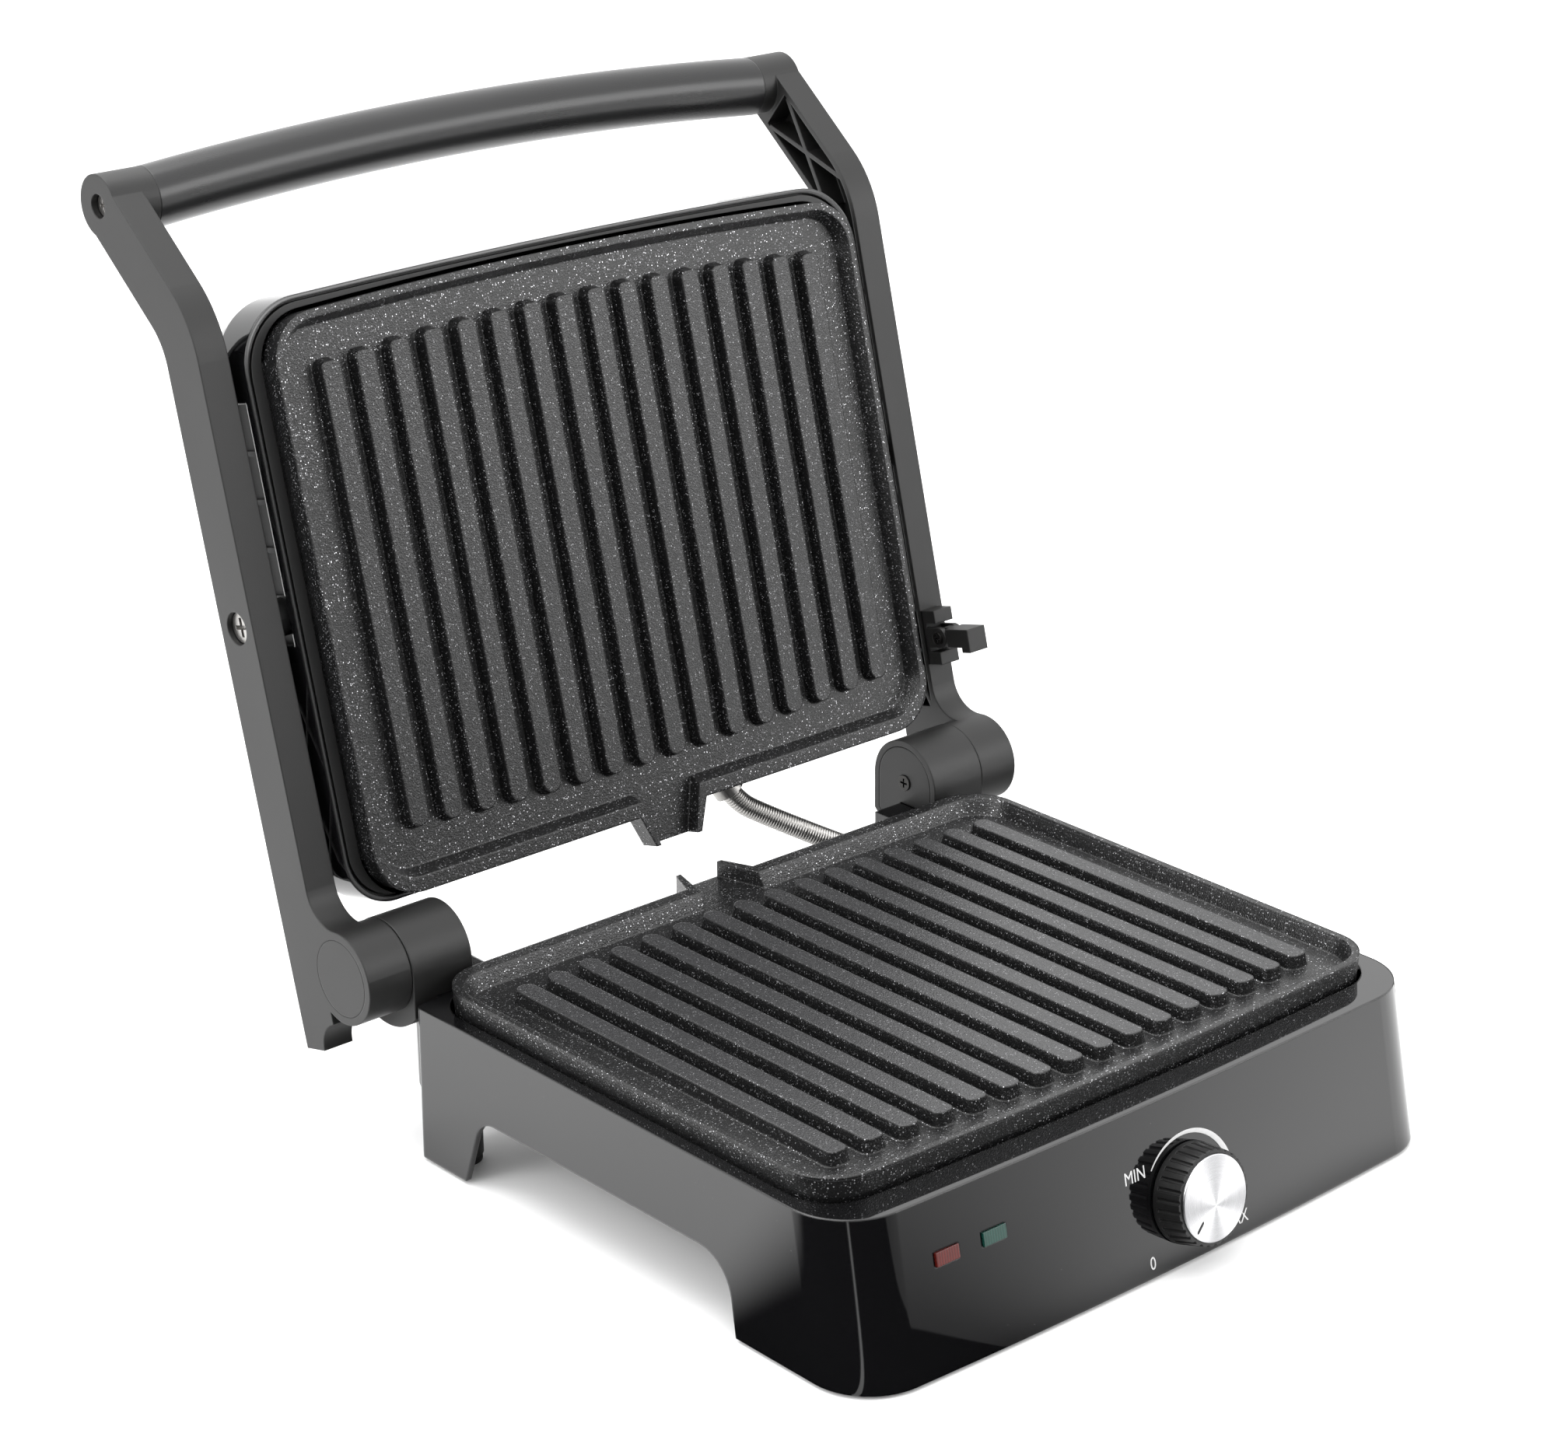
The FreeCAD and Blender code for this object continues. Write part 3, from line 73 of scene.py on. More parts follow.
RIB_TOP_BAND = (-0.00135, -0.00118, -0.00105, -0.0009)   # heights round the rib tops, from the rim
HIGHLIGHT_BOW_SECTORS = 4.0              # painted highlight on the knob's cap: a bow with this many light sectors
HIGHLIGHT_BOW_PHASE = 2.6                # radians
OFF_ANGLE = 222.6              # degrees anticlockwise from the panel's right, seen from the front
POINTER_REACH = (0.0098, 0.0152)
POINTER_HALF_WIDTH = 0.00062
PRINT_THICKNESS = 0.00010
SWEEP_ANGLES = (141, -24)
LABELS = (("label_low", "MIN", 149.5), ("label_off", "0", OFF_ANGLE), ("label_high", "MAX", -39.0))
CONDUIT_TURNS = 76
CONDUIT_ROUTE = [
    (0.0430, 0.0973, 0.0898),
    (0.0474, 0.0938, 0.0809),
    (0.0570, 0.0873, 0.0745),
    (0.0705, 0.0768, 0.0665),
    (0.0835, 0.0693, 0.0590),
    (0.0965, 0.0663, 0.0515),
    (0.1080, 0.0663, 0.0515),
]
CAMERA_BACK = 0.13535          # the camera's own frame is this far in front of the hinge axis
CAMERA_PLACE = (-0.9063, -0.9694, 0.6950)
CAMERA_AIM_HEIGHT = 0.1197
CAMERA_SHIFT = (-0.0805, 0.0909)
CAMERA_ROLL = 0.30             # degrees
FRONT_CARD = ((-0.095, -0.14), (-124, 84), 0.5)          # middle, azimuths in degrees, height
RIGHT_CARD = ((0.10, -0.12), (88, 150), 0.4)
CARD_REACH = 1.1
CARD_LIFT = 0.0012


# ---------------------------------------------------------------- settings
class GrillFinishSettings(bpy.types.PropertyGroup):
    """Colours and gloss of the grill's surfaces"""
    housing_colour: FloatVectorProperty(name="Housing", description="Glossy housing plastic",
                                        default=(0.0028, 0.0028, 0.0031), subtype="COLOR", min=0, max=1)
    housing_gloss: FloatProperty(name="Housing roughness", description="Roughness of the polished housing",
                                 default=0.03, min=0, max=1, subtype="FACTOR")
    coat_colour: FloatVectorProperty(name="Non-stick coat", description="Ground colour of the plates' coat",
                                     default=(0.0045, 0.0045, 0.0047), subtype="COLOR", min=0, max=1)
    fleck_colour: FloatVectorProperty(name="Flecks", description="Bright flecks in the plates' coat",
                                      default=(0.62, 0.62, 0.64), subtype="COLOR", min=0, max=1)
    fleck_size: FloatProperty(name="Fleck size", description="Size of one cell of flecks", default=0.00072,
                              unit="LENGTH", min=0.0001, max=0.01)
    arm_colour: FloatVectorProperty(name="Arms", description="Matte moulded plastic of arms and towers",
                                    default=(0.0060, 0.0059, 0.0057), subtype="COLOR", min=0, max=1)
    handle_colour: FloatVectorProperty(name="Handle", description="Satin coat of the handle tube",
                                       default=(0.0075, 0.0075, 0.0078), subtype="COLOR", min=0, max=1)
    steel_colour: FloatVectorProperty(name="Steel", description="Screws, pins and conduit",
                                      default=(0.44, 0.43, 0.415), subtype="COLOR", min=0, max=1)


class GrillDialSettings(bpy.types.PropertyGroup):
    """Sizes of the print round the control knob"""
    scale_radius: FloatProperty(name="Scale radius", description="Inner radius of the printed sweep",
                                default=0.0222, unit="LENGTH", min=0.01, max=0.05)
    scale_thin: FloatProperty(name="Thin end", description="Width of the sweep at its low end",
                              default=0.0005, unit="LENGTH", min=0.0001, max=0.01)
    scale_thick: FloatProperty(name="Thick end", description="Width of the sweep at its high end",
                               default=0.0035, unit="LENGTH", min=0.0001, max=0.01)
    label_radius: FloatProperty(name="Label radius",
                                description="Distance of the labels from the knob's middle",
                                default=0.0300, unit="LENGTH", min=0.01, max=0.06)
    label_height: FloatProperty(name="Label height", description="Height of the printed capitals",
                                default=0.0052, unit="LENGTH", min=0.001, max=0.02)
    panel_curve: FloatProperty(name="Panel bow",
                               description="How fast the bowed panel falls back from its middle",
                               default=0.1652, min=0, max=2)


class GrillConduitSettings(bpy.types.PropertyGroup):
    """Sizes of the spiral-wound conduit"""
    radius: FloatProperty(name="Radius", description="Outer radius of the conduit", default=0.0046,
                          unit="LENGTH", min=0.001, max=0.02)
    pitch: FloatProperty(name="Pitch", description="Distance from one turn of the wire to the next",
                         default=0.00115, unit="LENGTH", min=0.0005, max=0.01)
    samples_per_turn: IntProperty(name="Samples per turn", description="Rings of points along one turn",
                                  default=8, min=4, max=32)
    around: IntProperty(name="Points round", description="Points round the conduit", default=44,
                        min=12, max=128)


class GrillStageSettings(bpy.types.PropertyGroup):
    """Floor, light and camera"""
    floor_colour: FloatVectorProperty(name="Floor", description="Colour of the plain floor",
                                      default=(0.90, 0.90, 0.90), subtype="COLOR", min=0, max=1)
    key_power: FloatProperty(name="Key light", description="Power of the large light above", default=24.0,
                             unit="POWER", min=0, max=2000)
    side_power: FloatProperty(name="Side light", description="Power of the light on the left", default=12.0,
                              unit="POWER", min=0, max=2000)
    world_level: FloatProperty(name="Surround", description="Brightness of the white surround", default=1.75,
                               min=0, max=10)
    lens: FloatProperty(name="Lens", description="Focal length", default=86.96, min=10, max=300)


# ---------------------------------------------------------------- shader kit
class Value:
    """A number travelling between shader nodes; Python's operators add the Math nodes."""

    def __init__(self, finish, socket):
        self.finish = finish
        self.socket = socket

    def _math(self, operation, *values):
        return self.finish.node("ShaderNodeMath", {"operation": operation}, dict(enumerate(values)))

    def __add__(self, other):
        return self._math("ADD", self, other)

    def __radd__(self, other):
        return self._math("ADD", other, self)

    def __sub__(self, other):
        return self._math("SUBTRACT", self, other)

    def __rsub__(self, other):
        return self._math("SUBTRACT", other, self)

    def __mul__(self, other):
        return self._math("MULTIPLY", self, other)

    def __truediv__(self, other):
        return self._math("DIVIDE", self, other)

    def __gt__(self, other):
        return self._math("GREATER_THAN", self, other)

    def __lt__(self, other):
        return self._math("LESS_THAN", self, other)

    def step(self, low, high):
        """0 below low, 1 above high, smooth between."""
        return self.finish.node("ShaderNodeMapRange", {"interpolation_type": "SMOOTHSTEP"},
                                {"Value": self, "From Min": low, "From Max": high})


class Finish:
    """One material: a Principled shader and the nodes that vary it over the surface."""

    def __init__(self, name, **uniform):
        self.material = bpy.data.materials.new(name)
        self.material.use_nodes = True
        self.tree = self.material.node_tree
        self.shader = self.tree.nodes["Principled BSDF"]
        self.place = self.node("ShaderNodeTexCoord", {}, {}, "Object")
        self.set(**uniform)

    def node(self, kind, settings, inputs, output=0):
        """Add a node, set its settings and then its sockets, and return one output."""
        made = self.tree.nodes.new(kind)
        for key, value in settings.items():
            setattr(made, key, value)
        for key, value in inputs.items():
            self.feed(made.inputs[key], value)
        return Value(self, made.outputs[output])

    def feed(self, socket, value):
        """Link a Value to a socket, or set a plain number or colour on it."""
        if isinstance(value, Value):
            self.tree.links.new(value.socket, socket)
        elif isinstance(value, (tuple, list)) and len(value) == 3 and socket.type == "RGBA":
            socket.default_value = (*value, 1.0)
        else:
            socket.default_value = value

    def set(self, **sockets):
        """Feed the shader's sockets; underscores in names stand for spaces."""
        for key, value in sockets.items():
            self.feed(self.shader.inputs[key.replace("_", " ").title().replace("Ior", "IOR")], value)

    def noise(self, size, detail=2.0, place=None, **more):
        """Soft noise whose blobs are about size across."""
        inputs = {"Vector": place or self.place, "Scale": 1.0 / size, "Detail": detail}
        inputs.update(more)
        return self.node("ShaderNodeTexNoise", {}, inputs, 0)

    def cells(self, size, feature="F1", output="Distance"):
        """Cells about size across."""
        return self.node("ShaderNodeTexVoronoi", {"feature": feature},
                         {"Vector": self.place, "Scale": 1.0 / size}, output)

    def split(self, vector):
        """The three parts of a vector or colour."""
        made = self.tree.nodes.new("ShaderNodeSeparateXYZ")
        self.feed(made.inputs[0], vector)
        return [Value(self, out) for out in made.outputs]

    def dot(self, direction):
        """Distance of the surface point along a direction."""
        return self.node("ShaderNodeVectorMath", {"operation": "DOT_PRODUCT"},
                         {0: self.place, 1: tuple(direction)}, "Value")

    def mix(self, factor, first, second):
        """Colour between first and second."""
        made = self.tree.nodes.new("ShaderNodeMix")
        made.data_type = "RGBA"
        self.feed(made.inputs["Factor"], factor)
        self.feed(made.inputs[6], first)
        self.feed(made.inputs[7], second)
        return Value(self, made.outputs[2])

    def relief(self, height, strength, distance=0.0001, edge=0.0):
        """Bump from a height, on top of softened edges if edge is a radius."""
        inputs = {"Height": height, "Strength": strength, "Distance": distance}
        if edge > 0:
            inputs["Normal"] = self.node("ShaderNodeBevel", {"samples": 6}, {"Radius": edge})
        self.set(normal=self.node("ShaderNodeBump", {}, inputs))


def shade(colour, factor):
    """A colour made lighter or darker by a factor."""
    return tuple(min(1.0, channel * factor) for channel in colour)


# ---------------------------------------------------------------- finishes
def polished_housing(settings):
    """High-gloss black plastic: faint flow marks, orange peel, a few dust specks."""
    base = tuple(settings.housing_colour)
    finish = Finish("polished_housing", ior=1.6)
    haze = finish.noise(0.05, 3.0)
    dust = finish.cells(0.004) < 0.035
    picked = finish.split(finish.cells(0.004, output="Color"))[0] > 0.93
    speck = dust * picked
    finish.set(base_color=finish.mix(speck, finish.mix(haze, shade(base, 0.85), shade(base, 1.2)),
                                     (0.10, 0.10, 0.10)))
    finish.set(roughness=settings.housing_gloss + haze * 0.04 + speck * 0.4)
    finish.relief(finish.noise(0.012, 2.0), 0.02, 0.0003, edge=0.0012)
    return finish.material


def speckled_coat(settings, name, outward, rim, top_wear_and_highlight_tone):
    """Non-stick coat on a casting: pebbled ground, bright flecks, smoother worn rib tops, whose lighter colour is
    partly wear and partly painted highlight.
    """
    base = tuple(settings.coat_colour)
    finish = Finish(name, ior=1.5, coat_weight=0.0)
    height = finish.dot(outward) - float(np.dot(rim, outward))
    tops = height.step(*RIB_TOP_BAND[:2]) * (1 - height.step(*RIB_TOP_BAND[2:]))
    random = finish.split(finish.cells(settings.fleck_size, output="Color"))
    grain = finish.cells(settings.fleck_size)
    fine = finish.noise(settings.fleck_size * 0.8, 2.0)
    fleck = (random[0] > 0.66) * (1 - grain.step(0.24, 0.48)) * (1 - tops * 0.4)
    strong = (random[1] > 0.72) * fleck
    mottle = finish.noise(0.03, 3.0)
    ground = finish.mix(mottle, shade(base, 0.85), shade(base, 1.25))
    # The rib tops take a lighter colour: partly wear, partly a painted highlight where the tops catch the light.
    ground = finish.mix(tops, ground, shade(base, top_wear_and_highlight_tone))
    flecks = finish.mix(strong, shade(tuple(settings.fleck_colour), 0.22), tuple(settings.fleck_colour))
    finish.set(base_color=finish.mix(fleck, ground, flecks))
    finish.set(metallic=fleck * 0.8)
    finish.set(roughness=0.29 + mottle * 0.05 - tops * 0.03 - fleck * 0.06)
    finish.relief(grain * 0.7 + fine, 0.55, 0.00020, edge=0.0011)
    return finish.material


def moulded_charcoal(settings):
    """Matte spark-eroded plastic of the arms and towers."""
    base = tuple(settings.arm_colour)
    finish = Finish("moulded_charcoal", ior=1.48)
    cloud = finish.noise(0.045, 4.0)
    grain = finish.noise(0.00042, 3.0)
    finish.set(base_color=finish.mix(cloud, shade(base, 0.82), shade(base, 1.25)))
    finish.set(roughness=0.40 + cloud * 0.10 + grain * 0.06)
    finish.relief(grain, 0.22, 0.00012, edge=0.0009)
    return finish.material


def satin_handle(settings):
    """Satin coat of the handle tube, with a hint of drawn lines along it."""
    base = tuple(settings.handle_colour)
    finish = Finish("satin_handle", ior=1.5)
    along = finish.node("ShaderNodeMapping", {}, {"Vector": finish.place, "Scale": (0.04, 1.0, 1.0)})
    drawn = finish.noise(0.0008, 2.0, place=along)
    cloud = finish.noise(0.06, 3.0)
    finish.set(base_color=finish.mix(cloud, shade(base, 0.8), shade(base, 1.3)))
    finish.set(roughness=0.24 + cloud * 0.05 + drawn * 0.04)
    finish.relief(finish.noise(0.0005, 2.0) + drawn * 0.4, 0.12, 0.0001, edge=0.0006)
    return finish.material


def machined_steel(settings, name, tone, rough):
    """Plated steel with fine marks and small stains."""
    base = shade(tuple(settings.steel_colour), tone)
    finish = Finish(name, metallic=1.0)
    marks = finish.noise(0.0007, 4.0)
    stain = finish.noise(0.009, 3.0)
    finish.set(base_color=finish.mix(stain, shade(base, 0.78), base))
    finish.set(roughness=rough + marks * 0.12 + stain * 0.06)
    finish.relief(marks, 0.12, 0.0001, edge=0.0003)
    return finish.material


def turned_cap():
    """Aluminium disc turned on a lathe: fine rings, and a painted highlight, a bow of lighter sectors in the
    colour that crosses them.
    """
    finish = Finish("turned_cap", metallic=1.0)
    centre = finish.node("ShaderNodeVectorMath", {"operation": "SUBTRACT"},
                         {0: finish.place, 1: tuple(KNOB)})
    away = finish.node("ShaderNodeVectorMath", {"operation": "CROSS_PRODUCT"},
                       {0: centre, 1: tuple(PANEL_OUT)})
    radius = finish.node("ShaderNodeVectorMath", {"operation": "LENGTH"}, {0: away}, "Value")
    rings = finish.node("ShaderNodeTexNoise", {"noise_dimensions": "1D"},
                        {"W": radius, "Scale": 5200.0, "Detail": 2.0}, 0)
    broad = finish.node("ShaderNodeTexNoise", {"noise_dimensions": "1D"},
                        {"W": radius, "Scale": 700.0, "Detail": 1.0}, 0)
    # Painted highlight: the cap's colour is lighter in sectors by angle round the axis, a bow standing in for the
    # turned metal's reflection.
    side, _, up = finish.split(centre)
    turn = finish.node("ShaderNodeMath", {"operation": "ARCTAN2"}, {0: up, 1: side})
    highlight_bow_wave = finish.node("ShaderNodeMath", {"operation": "COSINE"}, {0: turn * HIGHLIGHT_BOW_SECTORS - HIGHLIGHT_BOW_PHASE})
    bow = highlight_bow_wave * 0.5 + 0.5
    finish.set(base_color=finish.mix(bow * 0.85 + broad * 0.15, (0.40, 0.40, 0.41), (0.84, 0.84, 0.85)))
    finish.set(roughness=0.24 + rings * 0.08)
    finish.relief(rings + broad * 0.3, 0.5, 0.00010)
    return finish.material


def plain_moulding(name, colour, rough, grain_size=0.0006, strength=0.15):
    """Simple moulded plastic or rubber with mottling and a fine grain."""
    finish = Finish(name, ior=1.48)
    cloud = finish.noise(0.02, 3.0)
    grain = finish.noise(grain_size, 2.0)
    finish.set(base_color=finish.mix(cloud, shade(colour, 0.8), shade(colour, 1.25)))
    finish.set(roughness=rough + cloud * 0.08 + grain * 0.05)
    finish.relief(grain, strength, 0.0001, edge=0.0004)
    return finish.material


def signal_lens(name, colour):
    """Moulded lamp lens with fine prisms behind a glossy face."""
    finish = Finish(name, ior=1.49, coat_weight=0.6, coat_roughness=0.04, specular_ior_level=0.5)
    across = finish.split(finish.place)[0]
    prisms = finish.node("ShaderNodeMath", {"operation": "PINGPONG"}, {0: across, 1: 0.0006}) / 0.0006
    cloud = finish.noise(0.004, 2.0)
    finish.set(base_color=finish.mix(cloud * 0.5 + prisms * 0.5, shade(colour, 0.55), shade(colour, 1.3)))
    finish.set(roughness=0.12 + prisms * 0.08)
    finish.relief(prisms, 0.25, 0.0001, edge=0.0005)
    return finish.material


def printed_ink():
    """White pad print, a little uneven in cover."""
    finish = Finish("printed_ink", ior=1.46)
    cover = finish.noise(0.0012, 3.0)
    finish.set(base_color=finish.mix(cover, (0.46, 0.46, 0.46), (0.56, 0.56, 0.56)))
    finish.set(roughness=0.42 + cover * 0.1)
    finish.relief(cover, 0.08, 0.00003)
    return finish.material


def folded_sheet():
    """Bright rolled sheet metal of the reflectors."""
    finish = Finish("folded_sheet", metallic=1.0)
    rolled = finish.noise(0.0006, 2.0, place=finish.node(
        "ShaderNodeMapping", {}, {"Vector": finish.place, "Scale": (0.03, 1.0, 1.0)}))
    tint = finish.noise(0.03, 3.0)
    finish.set(base_color=finish.mix(tint, (0.46, 0.46, 0.47), (0.58, 0.58, 0.59)))
    finish.set(roughness=0.26 + rolled * 0.16)
    finish.relief(rolled, 0.10, 0.00005)
    return finish.material


# ---------------------------------------------------------------- surfaces
def surface(name, points, closed_round=False, ends=False):
    """Mesh object over a grid of points (rows, columns, xyz): each cell is one face.

    closed_round joins the last column to the first; ends closes the first and last rows with a fan.
    """
    rows, columns, _ = points.shape
    index = np.arange(rows * columns).reshape(rows, columns)
    right = np.roll(index, -1, axis=1) if closed_round else index[:, 1:]
    left = index if closed_round else index[:, :-1]
    quads = np.stack([left[:-1], right[:-1], right[1:], left[1:]], axis=-1).reshape(-1, 4)
    vertices = points.reshape(-1, 3)
    faces = [tuple(face) for face in quads.tolist()]
    if ends:
        vertices = np.vstack([vertices, points[0].mean(axis=0), points[-1].mean(axis=0)])
        first, last = rows * columns, rows * columns + 1
        faces += [(first, b, a) for a, b in zip(index[0].tolist(), right[0].tolist())]
        faces += [(last, a, b) for a, b in zip(index[-1].tolist(), right[-1].tolist())]
    mesh = bpy.data.meshes.new(name)
    mesh.from_pydata(vertices.tolist(), [], faces)
    mesh.validate()
    made = bpy.data.objects.new(name, mesh)
    bpy.context.scene.collection.objects.link(made)
    return made


def finish_piece(piece, material, body, smooth=True):
    """Give a piece its material, smooth faces, moving body and material slot."""
    piece.data.materials.clear()
    piece.data.materials.append(material)
    piece.data.polygons.foreach_set("use_smooth", np.full(len(piece.data.polygons), smooth))
    if body:
        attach(piece, body)
    return piece


def on_panel(across, up, proud):
    """Points on the bowed, leaning panel: across and up from the knob's axis, raised by proud.

    The panel falls back with the square of the distance from the grill's middle.
    """
    curve = bpy.context.scene.grill_dial.panel_curve
    back = curve * ((KNOB[0] + across) ** 2 - KNOB[0] ** 2)
    base = KNOB + np.multiply.outer(across, [1.0, 0.0, 0.0]) + np.multiply.outer(up, PANEL_UP)
    return base + np.multiply.outer(back, [0.0, 1.0, 0.0]) + np.multiply.outer(proud, PANEL_OUT)


def ribbon(name, centre_radius, width, start, stop, proud, count=96):
    """Curved strip on the panel: angle runs along it, and its closed section is a flat lens across it."""
    turn = np.radians(np.linspace(start, stop, count))[:, None]
    share = np.linspace(0, 1, count)[:, None]
    lap = np.linspace(0, 2 * np.pi, 13)[:-1][None, :]
    half = 0.5 * (width[0] + (width[1] - width[0]) * share)
    radius = centre_radius + half + half * np.cos(lap)
    lift = np.broadcast_to(proud * (0.5 + 0.5 * np.sin(lap)), radius.shape)
    points = on_panel(radius * np.cos(turn), radius * np.sin(turn), lift)
    return surface(name, points, closed_round=True, ends=True)


def label(name, words, height, angle, radius, proud):
    """Printed word on the panel, its middle at an angle and radius from the knob's axis."""
    curve = bpy.data.curves.new(name, "FONT")
    curve.body = words
    curve.align_x = "CENTER"
    curve.align_y = "CENTER"
    curve.size = height / 0.73
    curve.extrude = proud / 2
    curve.resolution_u = 6
    text = bpy.data.objects.new(name + "_text", curve)
    bpy.context.scene.collection.objects.link(text)
    bpy.context.view_layer.update()
    mesh = bpy.data.meshes.new_from_object(text)
    mesh.name = name
    bpy.data.objects.remove(text)
    flat = np.empty(len(mesh.vertices) * 3, np.float32)
    mesh.vertices.foreach_get("co", flat)
    flat = flat.reshape(-1, 3).astype(float)
    middle = (flat.min(axis=0) + flat.max(axis=0)) / 2
    across = (flat[:, 0] - middle[0]) * 0.86 + radius * math.cos(math.radians(angle))
    up = flat[:, 1] - middle[1] + radius * math.sin(math.radians(angle))
    placed = on_panel(across, up, flat[:, 2] + proud / 2)
    mesh.vertices.foreach_set("co", placed.astype(np.float32).ravel())
    mesh.update()
    made = bpy.data.objects.new(name, mesh)
    bpy.context.scene.collection.objects.link(made)
    return made


def smooth_route(points, steps):
    """Evenly spaced points on the NURBS curve whose control points are given."""
    curve = bpy.data.curves.new("conduit_route", "CURVE")
    curve.dimensions = "3D"
    spline = curve.splines.new("NURBS")
    spline.points.add(len(points) - 1)
    weighted = np.hstack([points, np.ones((len(points), 1))])
    spline.points.foreach_set("co", weighted.astype(np.float32).ravel())
    spline.order_u = 3
    spline.use_endpoint_u = True
    spline.resolution_u = 24
    route = bpy.data.objects.new("conduit_route", curve)
    bpy.context.scene.collection.objects.link(route)
    bpy.context.view_layer.update()
    mesh = bpy.data.meshes.new_from_object(route)
    line = np.array([vertex.co for vertex in mesh.vertices], float)
    bpy.data.objects.remove(route)
    bpy.data.meshes.remove(mesh)
    length = np.concatenate([[0.0], np.cumsum(np.linalg.norm(np.diff(line, axis=0), axis=1))])
    even = np.linspace(0, length[-1], steps)
    return np.stack([np.interp(even, length, line[:, axis]) for axis in range(3)], axis=1), length[-1]


def wound_tube(name, line, offset, length, settings):
    """Close-wound round wire: radius is the outer radius less the dip between neighbouring turns.

    The dip follows a half circle of the wire across each turn, and turns advance by one pitch a lap.
    """
    along = np.gradient(line, axis=0)
    along /= np.linalg.norm(along, axis=1)[:, None]
    side = np.cross(along, [0.0, 0.0, 1.0])
    side /= np.linalg.norm(side, axis=1)[:, None]
    up = np.cross(side, along)
    lap = np.linspace(0, 2 * np.pi, settings.around + 1)[:-1]
    reach = offset + np.linspace(0, length, len(line))[:, None]
    wire = settings.pitch / 2
    phase = np.mod(reach / settings.pitch + lap[None, :] / (2 * np.pi), 1.0) - 0.5
    dip = wire - np.sqrt(np.maximum(wire ** 2 - (phase * settings.pitch) ** 2, 0.0))
    radius = (settings.radius - dip)[..., None]
    points = line[:, None, :] + radius * (np.cos(lap)[None, :, None] * side[:, None, :]
                                          + np.sin(lap)[None, :, None] * up[:, None, :])
    return surface(name, points, closed_round=True, ends=True)


# ---------------------------------------------------------------- operators
class GrillOperator:
    """Shared by the operators: each one does its work in make and reports that it finished."""
    bl_options = {"REGISTER", "UNDO"}

    def execute(self, context):
        """Do the operator's work."""
        self.make(context.scene)
        return {"FINISHED"}


def paint(nodes, material):
    """Give carried-over nodes a material in every slot."""
    for name in nodes:
        node = frame["nodes"][name]
        if not node.data.materials:
            node.data.materials.append(material)
        for number in range(len(node.data.materials)):
            node.data.materials[number] = material


def in_slot(*slots):
    """The nodes that take their finish from these slots."""
    return [name for name, slot in SLOT_OF.items() if slot in slots]


class GRILL_OT_plates(GrillOperator, bpy.types.Operator):
    """Coat the two grill plates"""
    bl_idname = "grill.plates"
    bl_label = "Coat the plates"

    def make(self, scene):
        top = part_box("lower_grill_plate")[1].z
        rim = np.array([0.0, 0.0, top])
        # The lower plate's rib tops are five times lighter: partly wear, partly a painted highlight.
        paint(["lower_grill_plate"], speckled_coat(scene.grill_finish, "lower_coat",
                                                   np.array([0.0, 0.0, 1.0]), rim, 5.0))
        turn = Matrix.Rotation(-OPEN_ANGLE, 3, "X")
        outward = np.array(turn @ Vector((0, 0, -1)))
        node = frame["nodes"]["upper_grill_plate"]
        flat = np.empty(len(node.data.vertices) * 3, np.float32)
        node.data.vertices.foreach_get("co", flat)
        reach = float((flat.reshape(-1, 3) @ outward).max())
        paint(["upper_grill_plate"], speckled_coat(scene.grill_finish, "upper_coat", outward,
                                                   outward * reach, 1.15))


class GRILL_OT_housings(GrillOperator, bpy.types.Operator):
    """Polish the base and lid housings"""
    bl_idname = "grill.housings"
    bl_label = "Polish the housings"

    def make(self, scene):
        paint(in_slot("gloss_black"), polished_housing(scene.grill_finish))
        paint(in_slot("matte_black"), plain_moulding("inner_moulding", (0.006, 0.006, 0.006), 0.42))
        paint(in_slot("painted_pan"),
              plain_moulding("baked_paint", (0.007, 0.007, 0.007), 0.34, 0.0011, 0.12))
        paint(in_slot("black_rubber"), plain_moulding("rubber", (0.008, 0.008, 0.008), 0.66, 0.0009, 0.25))


class GRILL_OT_arms(GrillOperator, bpy.types.Operator):
    """Finish the arms, towers, latch and handle"""
    bl_idname = "grill.arms"
    bl_label = "Finish the arms"

    def make(self, scene):
        paint(in_slot("charcoal_plastic"), moulded_charcoal(scene.grill_finish))
        paint(in_slot("handle_coat"), satin_handle(scene.grill_finish))


class GRILL_OT_metal(GrillOperator, bpy.types.Operator):
    """Finish screws, pins, elements and reflectors"""
    bl_idname = "grill.metal"
    bl_label = "Finish the metal"

    def make(self, scene):
        settings = scene.grill_finish
        paint(in_slot("steel"), machined_steel(settings, "plated_steel", 1.0, 0.22))
        paint(["tower_cover_screws", "latch_pin"], machined_steel(settings, "blackened_steel", 0.12, 0.30))
        paint(in_slot("element_sheath"), machined_steel(settings, "element_sheath", 0.5, 0.42))
        paint(in_slot("bright_sheet"), folded_sheet())


class GRILL_OT_lamps(GrillOperator, bpy.types.Operator):
    """Colour the two signal lamps"""
    bl_idname = "grill.lamps"
    bl_label = "Colour the lamps"

    def make(self, scene):
        paint(in_slot("red_lens"), signal_lens("red_lens", (0.075, 0.0070, 0.0050)))
        paint(in_slot("green_lens"), signal_lens("green_lens", (0.0055, 0.040, 0.030)))


